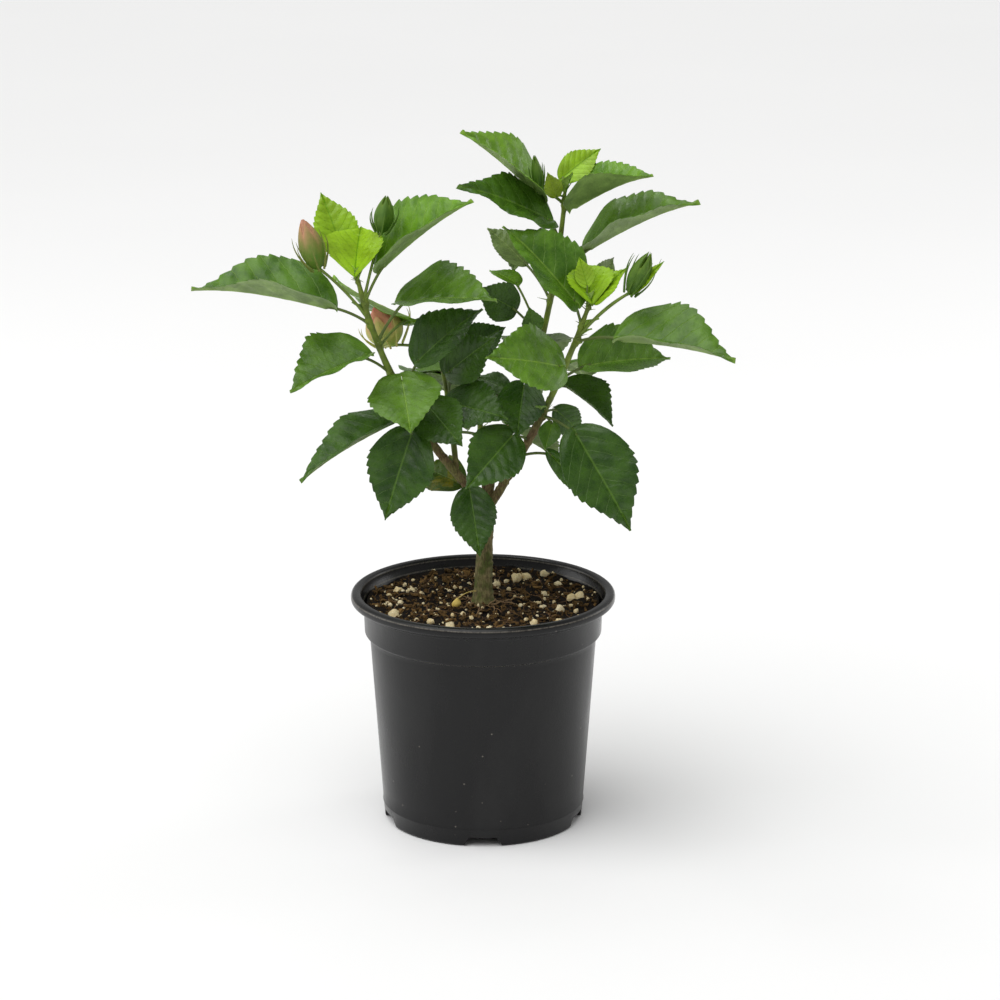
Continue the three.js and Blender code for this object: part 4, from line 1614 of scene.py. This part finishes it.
@dataclass
class Blade:
    """The blade of one leaf, in millimetres, with its fold in degrees.

    The bite of a tooth is a share of the width, and the arch of the midrib, the puckers between
    the veins and the lobes of the heart-shaped base are shares of the length.
    """

    length: float
    width: float
    fold: float
    rng: random.Random
    teeth: int = 9
    columns: int = 15
    toothed_from: float = 0.24
    bite: float = 0.052
    arch: float = 0.03
    pucker: float = 0.026
    lobe: float = 0.09
    broad_lobe: float = 0.38
    broad_from: float = 0.74
    thickness: float = 0.32
    rib: float = 1.1
    side_rib: float = 0.12
    wedge: bool = False

    def stations(self) -> tuple[np.ndarray, np.ndarray]:
        """Sets out the rows of points along the blade.

        Returns:
            The share of the length at each row, and how far the row is through its tooth.
        """
        rows = [0.0, 0.008, 0.025, 0.05, 0.085, 0.125, 0.17, 0.21]
        through = [0.0] * len(rows)
        step = (0.985 - self.toothed_from) / self.teeth
        for tooth in range(self.teeth):
            for part in (0.0, 0.4, 0.75, 0.93):
                rows.append(self.toothed_from + (tooth + part) * step)
                through.append(part)
        return np.array(rows + [1.0]), np.array(through + [0.0])

    def half_widths(self, rows: np.ndarray, through: np.ndarray) -> np.ndarray:
        """Gives the half width of each row on each side, with the teeth.

        Args:
            rows: Shares of the length.
            through: How far each row is through its tooth.

        Returns:
            Two columns, one for each side, in millimetres.
        """
        widest = 1.2 if self.wedge else 0.66
        fullness = np.sin(math.pi * np.clip(rows, 0, 1) ** widest) ** (0.78 + 0.42 * rows)
        fullness = np.nan_to_num(fullness).clip(0.012, 1)
        plain = self.width / 2 * fullness
        cut = np.where(through > 0, through ** 0.8, 0.0)
        tip = np.clip((1 - rows) / 0.14, 0, 1)
        grow = np.clip((rows - self.toothed_from + 0.04) / 0.25, 0, 1) * (1 - 0.45 * rows)
        sides = []
        for _ in range(2):
            wobble = [self.rng.uniform(0.6, 1.35) for _ in rows]
            sizes = np.repeat(wobble[:len(rows) // 4 + 2], 4)[:len(rows)]
            sides.append(plain + self.width * self.bite * grow * sizes * (cut - 0.35) * tip)
        return np.maximum(np.array(sides).T, 0.15)

    def grid(self) -> tuple[np.ndarray, np.ndarray, np.ndarray]:
        """Works out the upper face.

        Returns:
            The points as rows of columns in millimetres, the map, and the midrib's nearness.
        """
        rows, through = self.stations()
        halves = self.half_widths(rows, through)
        cross = np.linspace(-1, 1, self.columns)
        cross = np.sign(cross) * np.abs(cross) ** 0.9
        side = np.where(cross[None, :] < 0, halves[:, :1], halves[:, 1:]) * cross[None, :]
        along = np.repeat(rows[:, None], self.columns, axis=1) * self.length
        if not self.wedge:
            broad = max(0.0, self.width / self.length - self.broad_from)
            heart = (self.lobe + self.broad_lobe * broad) * self.length
            along = along - heart * np.exp(-(rows[:, None] / 0.13) ** 2) * np.abs(cross[None, :])
        share, out = along / self.length, np.abs(side) / self.length
        lift = math.tan(math.radians(self.fold))
        keel = np.sqrt(side ** 2 + 0.5) - math.sqrt(0.5)
        up = keel * lift + self.arch * self.length * 4 * share * (1 - share)
        phase = VeinPattern.phase(share, out)
        pucker = np.abs(np.sin(math.pi * phase)) * np.sin(math.pi * np.clip(
            np.abs(cross[None, :]), 0, 1) ** 0.8)
        up = up + self.pucker * self.length * pucker
        waves = self.rng.uniform(0.008, 0.022) * self.length
        count, shift = self.rng.uniform(1.4, 2.6), self.rng.uniform(0, 6)
        tilt = np.sign(cross[None, :]) * self.rng.uniform(0.5, 1.5)
        up = up + waves * np.sin(count * math.tau * share + shift + tilt) * cross[None, :] ** 2
        up = up - self.rng.uniform(0.0, 0.07) * self.length * np.clip(share - 0.55, 0, 1) ** 2 * 3
        bend = self.rng.uniform(-0.03, 0.03) * self.length * share ** 2
        points = np.stack([along, side + bend, up], axis=-1)
        uv = np.stack([0.5 + side / self.length, share], axis=-1)
        rib = np.exp(-(side / 0.9) ** 2) * (1 - 0.75 * share)
        return points, uv, rib

    def add_to(self, heap: Heap, base: np.ndarray, frame_rows: np.ndarray, tone: Tone) -> None:
        """Adds the closed blade to a heap, upper face and underside in their own finishes.

        Args:
            heap: Where it goes.
            base: Where the stalk meets the blade, in metres.
            frame_rows: The blade's directions along, across and up.
            tone: Its green.
        """
        points, uv, rib = self.grid()
        rows = points.shape[0]
        share, out = uv[..., 1], np.abs(uv[..., 0] - 0.5)
        ridge = np.abs(np.cos(math.pi * VeinPattern.phase(share, out))) ** 12
        below = points.copy()
        below[..., 2] -= self.thickness + self.rib * rib + self.side_rib * ridge
        both = np.concatenate([points.reshape(-1, 3), below.reshape(-1, 3)])
        world = base + both @ frame_rows * MM
        top, under, rim = slab_faces(rows, self.columns)
        slot = TONES.index(tone) * 2
        slots = [slot] * len(top) + [slot + 1] * len(under) + [slot] * len(rim)
        flat_uv = np.concatenate([uv.reshape(-1, 2)] * 2)
        heap.add(world, top + under + rim, slots, self.rng.random(), flat_uv)


@dataclass
class Stalk:
    """A leaf stalk or flower stalk, bowed a little and swollen at both ends."""

    start: np.ndarray
    end: np.ndarray
    radius: float
    bow: float = 0.07
    foot_swell: float = 0.5
    top_swell: float = 0.28
    steps: int = 12

    def line(self) -> np.ndarray:
        """Draws the stalk's bowed line.

        Returns:
            Its points, from the limb to the blade.
        """
        shares = np.linspace(0, 1, self.steps)[:, None]
        span = self.end - self.start
        rise = np.array([0, 0, np.linalg.norm(span) * self.bow])
        return self.start + span * shares + rise * 4 * shares * (1 - shares)

    def add_to(self, heap: Heap, tint: float) -> None:
        """Adds the stalk to a heap.

        Args:
            heap: Where it goes.
            tint: How pale its green is, from 0 to 1.
        """
        shares = np.linspace(0, 1, self.steps)
        swell = (1 + self.foot_swell * np.exp(-(shares / 0.12) ** 2)
                 + self.top_swell * np.exp(-((shares - 1) / 0.08) ** 2))
        sweep(heap, self.line(), self.radius * MM * swell, 8, 0, tint)


@dataclass
class Bud:
    """A flower bud: a ribbed calyx, the rolled petals in it and a ring of bractlets."""

    length: float
    width: float
    stage: BudStage
    base: np.ndarray
    rows: np.ndarray
    rng: random.Random
    ribs: float = 0.07
    bractlets: int = 8
    sides: int = 40
    steps: int = 18

    def egg(self, heap: Heap, slot: int, width: float, reach: Callable[[np.ndarray], np.ndarray],
            start: float, twist: float, tint: float) -> None:
        """Adds one pointed, ribbed shell.

        Args:
            heap: Where it goes.
            slot: Its material slot.
            width: Its full width.
            reach: Length of the shell at each angle, as a share of the bud.
            start: Where its foot is, as a share of the bud.
            twist: Turn of the ribs from foot to tip, in radians.
            tint: The tint at its tip; its foot has none.
        """
        angles = np.linspace(0, math.tau, self.sides, endpoint=False)
        shares = np.linspace(0, 1, self.steps)[:, None]
        along = start + (reach(angles)[None, :] - start) * shares
        full = np.clip(along, 0.0, 1.0)
        shape = np.sin(math.pi * np.clip(full * 0.94 + 0.03, 0.02, 0.995) ** 0.82) ** 0.8
        shape = shape * (1 + self.ribs * np.cos(5 * angles[None, :] + twist * full))
        radius = width / 2 * np.clip(shape, 0.03, None)
        x = along * self.length
        ring = np.stack([x, np.cos(angles) * radius, np.sin(angles) * radius], axis=-1)
        points = np.vstack([ring.reshape(-1, 3), [x[0].mean(), 0, 0], [x[-1].mean(), 0, 0]])
        faces = grid_faces(self.steps, self.sides, True) + end_fans(self.steps, self.sides)
        tints = np.concatenate([np.repeat(shares[:, 0] ** 2.8 * tint, self.sides), [0, tint]])
        heap.add(self.base + points @ self.rows * MM, faces, slot, tints)

    def bractlet(self, heap: Heap, angle: float, length: float, slot: int) -> None:
        """Adds one narrow bractlet that bows out from the foot of the bud and up beside it.

        Args:
            heap: Where it goes.
            angle: Its place round the bud, in radians.
            length: Its height, in millimetres.
            slot: Its material slot.
        """
        shares = np.linspace(0, 1, 9)
        out = self.width * (0.3 + 0.42 * np.sin(math.pi * 0.62 * shares)
                            + self.rng.uniform(-0.03, 0.14) * shares ** 2)
        line = np.stack([shares * length - 0.4, np.cos(angle) * out, np.sin(angle) * out], axis=-1)
        radii = 0.62 * (1 - shares) ** 0.7 + 0.08
        sweep(heap, self.base + line @ self.rows * MM, radii * MM, 6, slot, 0.2)

    def add_to(self, heap: Heap) -> None:
        """Adds the bud to a heap.

        Args:
            heap: Where it goes. Its slots are sepal, petal, the faded pair and blushing sepal.
        """
        middle, lobes, inside, reach, flush, sepal, petal = self.stage.value

        def calyx(angles: np.ndarray) -> np.ndarray:
            """Gives the calyx's height at each angle, with its five lobes."""
            return middle + lobes * (2 * np.abs(np.cos(2.5 * angles)) ** 1.5 - 1)

        def petals(angles: np.ndarray) -> np.ndarray:
            """Gives the even height of the rolled petals."""
            return np.full_like(angles, inside)

        self.egg(heap, petal, self.width * 0.88, petals, 0.12, 3.0, 1.0)
        self.egg(heap, sepal, self.width, calyx, 0.0, 0.0, flush)
        for index in range(self.bractlets):
            angle = math.tau * index / self.bractlets + self.rng.uniform(-0.2, 0.2)
            self.bractlet(heap, angle, self.length * reach * self.rng.uniform(0.75, 1.1), sepal)


@dataclass
class Sprouts:
    """The seeded small growth at each leaf node: stipules, eye buds and first leaflets."""

    rng: random.Random
    leaflet_odds: float = 0.3
    bracts: int = 6
    furled: int = 3

    def stipules(self, heap: Heap, node: np.ndarray, heading: float, radius: float) -> None:
        """Adds the two hair-fine stipules beside a leaf stalk.

        Args:
            heap: Where they go.
            node: Where the leaf leaves its limb, in metres.
            heading: The heading of its stalk, in degrees.
            radius: The limb's radius there, in metres.
        """
        for turn in (-62, 62):
            way = direction(heading + turn + self.rng.uniform(-15, 15), self.rng.uniform(0, 45))
            length = self.rng.uniform(3.5, 7.0)
            shares = np.linspace(0, 1, 7)[:, None]
            start = node + way * radius * 0.7
            sag = np.array([0, 0, self.rng.uniform(-1.5, 1.2)]) * shares ** 2
            line = start + (way * length * shares + sag) * MM
            sweep(heap, line, (0.34 * (1 - shares[:, 0]) + 0.07) * MM, 5, 0, 0.4)

    def eye(self, heap: Heap, node: np.ndarray, heading: float, radius: float) -> None:
        """Adds the small round eye bud in the angle of a leaf stalk.

        Args:
            heap: Where it goes.
            node: Where the leaf leaves its limb, in metres.
            heading: The heading of its stalk, in degrees.
            radius: The limb's radius there, in metres.
        """
        way = direction(heading + self.rng.uniform(-10, 10), 55)
        shares = np.linspace(0, 1, 7)
        line = node + way * (radius * 0.75 + shares[:, None] * self.rng.uniform(2.0, 3.4) * MM)
        radii = np.sin(math.pi * (0.15 + 0.83 * shares)) ** 0.8 * self.rng.uniform(0.7, 1.1) * MM
        sweep(heap, line, radii, 8, 0, 0.7)

    def apex(self, heaps: dict[str, Heap], limb: Limb) -> None:
        """Crowns a limb with its growing tip.

        Args:
            heaps: The heaps that the furled leaflets and the narrow bracts go into.
            limb: The limb.
        """
        top = limb.point(1)
        for index in range(self.bracts):
            heading = GOLDEN_ANGLE * index + self.rng.uniform(-12, 12)
            way = direction(heading, self.rng.uniform(52, 78))
            shares = np.linspace(0, 1, 7)
            length = self.rng.uniform(4, 8)
            line = top + way * (shares * length * MM)[:, None]
            sweep(heaps["sprouts"], line, (0.55 * (1 - shares) + 0.08) * MM, 6, 0, 0.9)
        for index in range(self.furled):
            heading = GOLDEN_ANGLE * index + 40
            length = self.rng.uniform(9, 13)
            blade = Blade(length, length * 0.5, 42, self.rng, teeth=5, columns=9, thickness=0.25)
            blade.add_to(heaps["leaves"], top, basis(heading, self.rng.uniform(55, 72), 0),
                         self.rng.choice([Tone.YOUNG, Tone.LIGHT]))

    def leaflet(self, heaps: dict[str, Heap], node: np.ndarray, heading: float) -> None:
        """Adds a first leaflet on a short stalk above the node.

        Args:
            heaps: The heaps that the leaflet and its stalk go into.
            node: Where the full leaf leaves its limb, in metres.
            heading: The heading of that leaf's stalk, in degrees.
        """
        turn = heading + self.rng.uniform(-70, 70)
        way = direction(turn, self.rng.uniform(35, 70))
        base = node + way * self.rng.uniform(4, 7) * MM
        Stalk(node, base, 0.45).add_to(heaps["stalks"], 0.8)
        length = self.rng.uniform(7, 12)
        blade = Blade(length, length * 0.62, 20, self.rng, teeth=5, columns=9, thickness=0.25)
        blade.add_to(heaps["leaves"], base, basis(turn, self.rng.uniform(10, 50), 0),
                     self.rng.choice([Tone.YOUNG, Tone.LIGHT, Tone.MIDDLE]))


@dataclass
class Foliage:
    """All the leaves, stalks, buds and small growth, gathered bough by bough."""

    skeleton: Skeleton
    seed: int = GROWTH_SEED

    def grow(self, name: str, heaps: dict[str, Heap], plan: Union[LeafPlan, BudPlan],
             rng: random.Random) -> None:
        """Grows one leaf or bud from its limb.

        Args:
            name: The limb's name.
            heaps: The heaps of leaves, stalks, buds and small growth.
            plan: The leaf's or bud's plan.
            rng: The seeded source of its small differences.
        """
        limb = self.skeleton.limbs[name]
        node = limb.point(plan.up)
        reach, heading, rise = plan.stalk
        base = node + direction(heading, rise) * reach * MM
        length, width, face_heading, pitch, roll = plan.blade[:5]
        rows = basis(face_heading, pitch, roll)
        sprouts = Sprouts(rng)
        radius = float(limb.radius(plan.up))
        tender = plan.up > limb.green[0] + 0.1
        if isinstance(plan, BudPlan):
            Stalk(node, base + rows[0] * 0.5 * MM, 0.85, 0.05).add_to(heaps["stalks"], 0.9)
            Bud(length, width, plan.stage, base, rows, rng).add_to(heaps["buds"])
        else:
            fold = plan.blade[5] if len(plan.blade) > 5 else USUAL_FOLD
            thin = 0.55 + 0.3 * min(1.0, length / 50)
            green = 0.8 if plan.tone in (YOUNG, LIGHT) else 0.25
            Stalk(node, base, thin).add_to(heaps["stalks"], green)
            teeth, columns = (6, 11) if length < 24 else (9, 15)
            blade = Blade(length, width, fold, rng, teeth, columns, wedge=plan.wedge)
            blade.add_to(heaps["leaves"], base, rows, plan.tone)
        if tender:
            sprouts.stipules(heaps["sprouts"], node, heading, radius)
            sprouts.eye(heaps["sprouts"], node, heading, radius)
            if rng.random() < sprouts.leaflet_odds:
                sprouts.leaflet(heaps, node, heading)

    @staticmethod
    def finishes() -> dict[str, list[bpy.types.Material]]:
        """Builds the finishes of each kind of piece.

        Returns:
            For each kind, its materials in the order of the slots.
        """
        leaves = []
        for tone in TONES:
            leaves += [tone.upper().material(), tone.under().material()]
        stalk = GreenFinish("leaf_stalk", linear(72, 84, 44), linear(118, 142, 56), 90.0)
        sprout = GreenFinish("sprout", linear(96, 118, 52), linear(142, 168, 66), 200.0)
        sepal = GreenFinish("sepal", linear(66, 104, 28), linear(118, 148, 48), 160.0, 0.55)
        petal = GreenFinish("petal", linear(168, 134, 92), linear(206, 142, 120), 260.0, 0.6, 0.5)
        old_sepal = GreenFinish("faded_sepal", linear(164, 192, 84), linear(230, 170, 128), 200.0)
        old_petal = GreenFinish("faded_petal", linear(232, 170, 132), linear(226, 120, 104), 220.0,
                                0.65, 0.45)
        blush = GreenFinish("blushing_sepal", linear(84, 128, 28), linear(208, 146, 118), 300.0,
                            0.55, cloud=0.12)
        buds = [each.material() for each in (sepal, petal, old_sepal, old_petal, blush)]
        return {"leaves": leaves, "stalks": [stalk.material()], "buds": buds,
                "sprouts": [sprout.material()]}

    def build(self) -> list[tuple[bpy.types.Object, list[str]]]:
        """Builds a leaf piece for each limb, and the stalks, buds and sprouts of the shrub.

        Returns:
            Each piece with the tiers that it stands for.
        """
        finishes = self.finishes()
        common = {kind: Heap() for kind in ("stalks", "buds", "sprouts")}
        pieces = []
        rng = random.Random(self.seed)
        for limb in self.skeleton.limbs:
            tiers = {key: plans for key, (on, plans) in TIERS.items() if on == limb}
            if not tiers:
                continue
            heaps = dict(common, leaves=Heap())
            for plans in tiers.values():
                for plan in plans:
                    self.grow(limb, heaps, plan, random.Random(rng.randrange(10 ** 6)))
            if limb.endswith("bough"):
                Sprouts(rng).apex(heaps, self.skeleton.limbs[limb])
            piece = heaps["leaves"].build(f"{limb}_leaves", finishes["leaves"])
            pieces.append((piece, list(tiers)))
        for kind, heap in common.items():
            owner = "leaf" if kind == "stalks" else "shrub"
            pieces.append((heap.build(f"{owner}_{kind}", finishes[kind]), []))
        return pieces

    @staticmethod
    def nodes() -> dict[str, list[tuple[float, float]]]:
        """Lists where the leaves leave each limb, for the bark's swellings.

        Returns:
            For each limb, the share of the way and the heading of every leaf's stalk.
        """
        found: dict[str, list[tuple[float, float]]] = {}
        for limb, plans in TIERS.values():
            found.setdefault(limb, []).extend((plan.up, plan.stalk[1]) for plan in plans)
        return found


# ------------------------------------------------------------------------------- studio


@dataclass
class Studio:
    """The camera, the soft lights and the pale floor."""

    aim: Triple = (0.010, 0.0, 0.194)
    distance: float = 2.1
    pitch: float = 15.5
    lens: float = 129.0
    floor_size: float = 30.0
    lamps: tuple[tuple[str, Triple, float, float], ...] = (
        ("left_panel", (-1.9, 0.3, 0.7), 1.2, 8.0), ("top_panel", (-0.4, 0.6, 1.7), 0.45, 3.2),
        ("right_panel", (1.7, 0.9, 0.7), 0.7, 4.5))
    surroundings: float = 0.42

    def camera(self) -> None:
        """Sets the camera in front of the shrub, looking a little down."""
        tilt = math.radians(self.pitch)
        place = Vector(self.aim) + Vector((0, -math.cos(tilt), math.sin(tilt))) * self.distance
        data = bpy.data.cameras.new("camera")
        data.lens = self.lens
        data.sensor_width = 36
        camera = bpy.data.objects.new("camera", data)
        camera.location = place
        camera.rotation_euler = (Vector(self.aim) - place).to_track_quat("-Z", "Y").to_euler()
        bpy.context.scene.collection.objects.link(camera)
        bpy.context.scene.camera = camera

    def lamp(self, name: str, place: Triple, size: float, power: float) -> None:
        """Hangs one square soft light that faces the crown.

        Args:
            name: Its name.
            place: Where it hangs, in metres.
            size: The length of its side.
            power: Its power, in watts.
        """
        data = bpy.data.lights.new(name, "AREA")
        data.size = size
        data.energy = power
        lamp = bpy.data.objects.new(name, data)
        lamp.location = place
        way = Vector(self.aim) - Vector(place)
        lamp.rotation_euler = way.to_track_quat("-Z", "Y").to_euler()
        bpy.context.scene.collection.objects.link(lamp)

    def sun(self, name: str, place: Triple, strength: float, spread: float) -> None:
        """Sets one even, broad light that shines from a place towards the pot.

        Args:
            name: The light's name.
            place: The direction that it comes from.
            strength: Its strength on a square face.
            spread: The angle that it covers, in degrees, which softens its shadows.
        """
        data = bpy.data.lights.new(name, "SUN")
        data.energy = strength
        data.angle = math.radians(spread)
        sun = bpy.data.objects.new(name, data)
        sun.rotation_euler = (-Vector(place)).to_track_quat("-Z", "Y").to_euler()
        bpy.context.scene.collection.objects.link(sun)

    def floor(self) -> None:
        """Lays the pale floor under the pot."""
        start_piece()
        bpy.ops.mesh.primitive_plane_add(size=self.floor_size,
                                         location=(0, 0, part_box("pot")[0].z - 0.0002))
        floor = bpy.context.object
        floor.name = "pale_floor"
        settle(floor)
        floor.data.materials.append(FloorFinish().material())

    def build(self) -> None:
        """Sets up the camera, the lights, the floor and the pale surroundings."""
        self.camera()
        for lamp in self.lamps:
            self.lamp(*lamp)
        self.sun("sky", (-0.35, -0.4, 1.0), 2.05, 64)
        self.floor()
        world = bpy.data.worlds.new("studio")
        bpy.context.scene.world = world
        world.use_nodes = True
        background = world.node_tree.nodes["Background"]
        background.inputs[0].default_value = (1.0, 1.0, 0.99, 1.0)
        background.inputs[1].default_value = self.surroundings
        bpy.context.scene.view_settings.view_transform = "Standard"


# ------------------------------------------------------------------------------- assembly


def main() -> None:
    """Builds the studio, the pot, the mix, the limbs and the foliage, in that order."""
    logging.basicConfig(level=logging.INFO, format="%(name)s: %(message)s")
    Studio().build()
    dress(NurseryPot().build(), "pot_plastic", "pot")
    bed, *litter = PottingMix().build()
    dress(bed, "potting_mix", "potting_mix")
    for piece in litter:
        dress(piece, "potting_mix")
    skeleton = Skeleton()
    for piece, name in skeleton.build(Foliage.nodes()):
        dress(piece, "green_stem" if name.endswith("stem") else "bark", name)
    for piece, tiers in Foliage(skeleton).build():
        dress(piece, "foliage", *tiers)


if __name__ == "__main__":
    main()
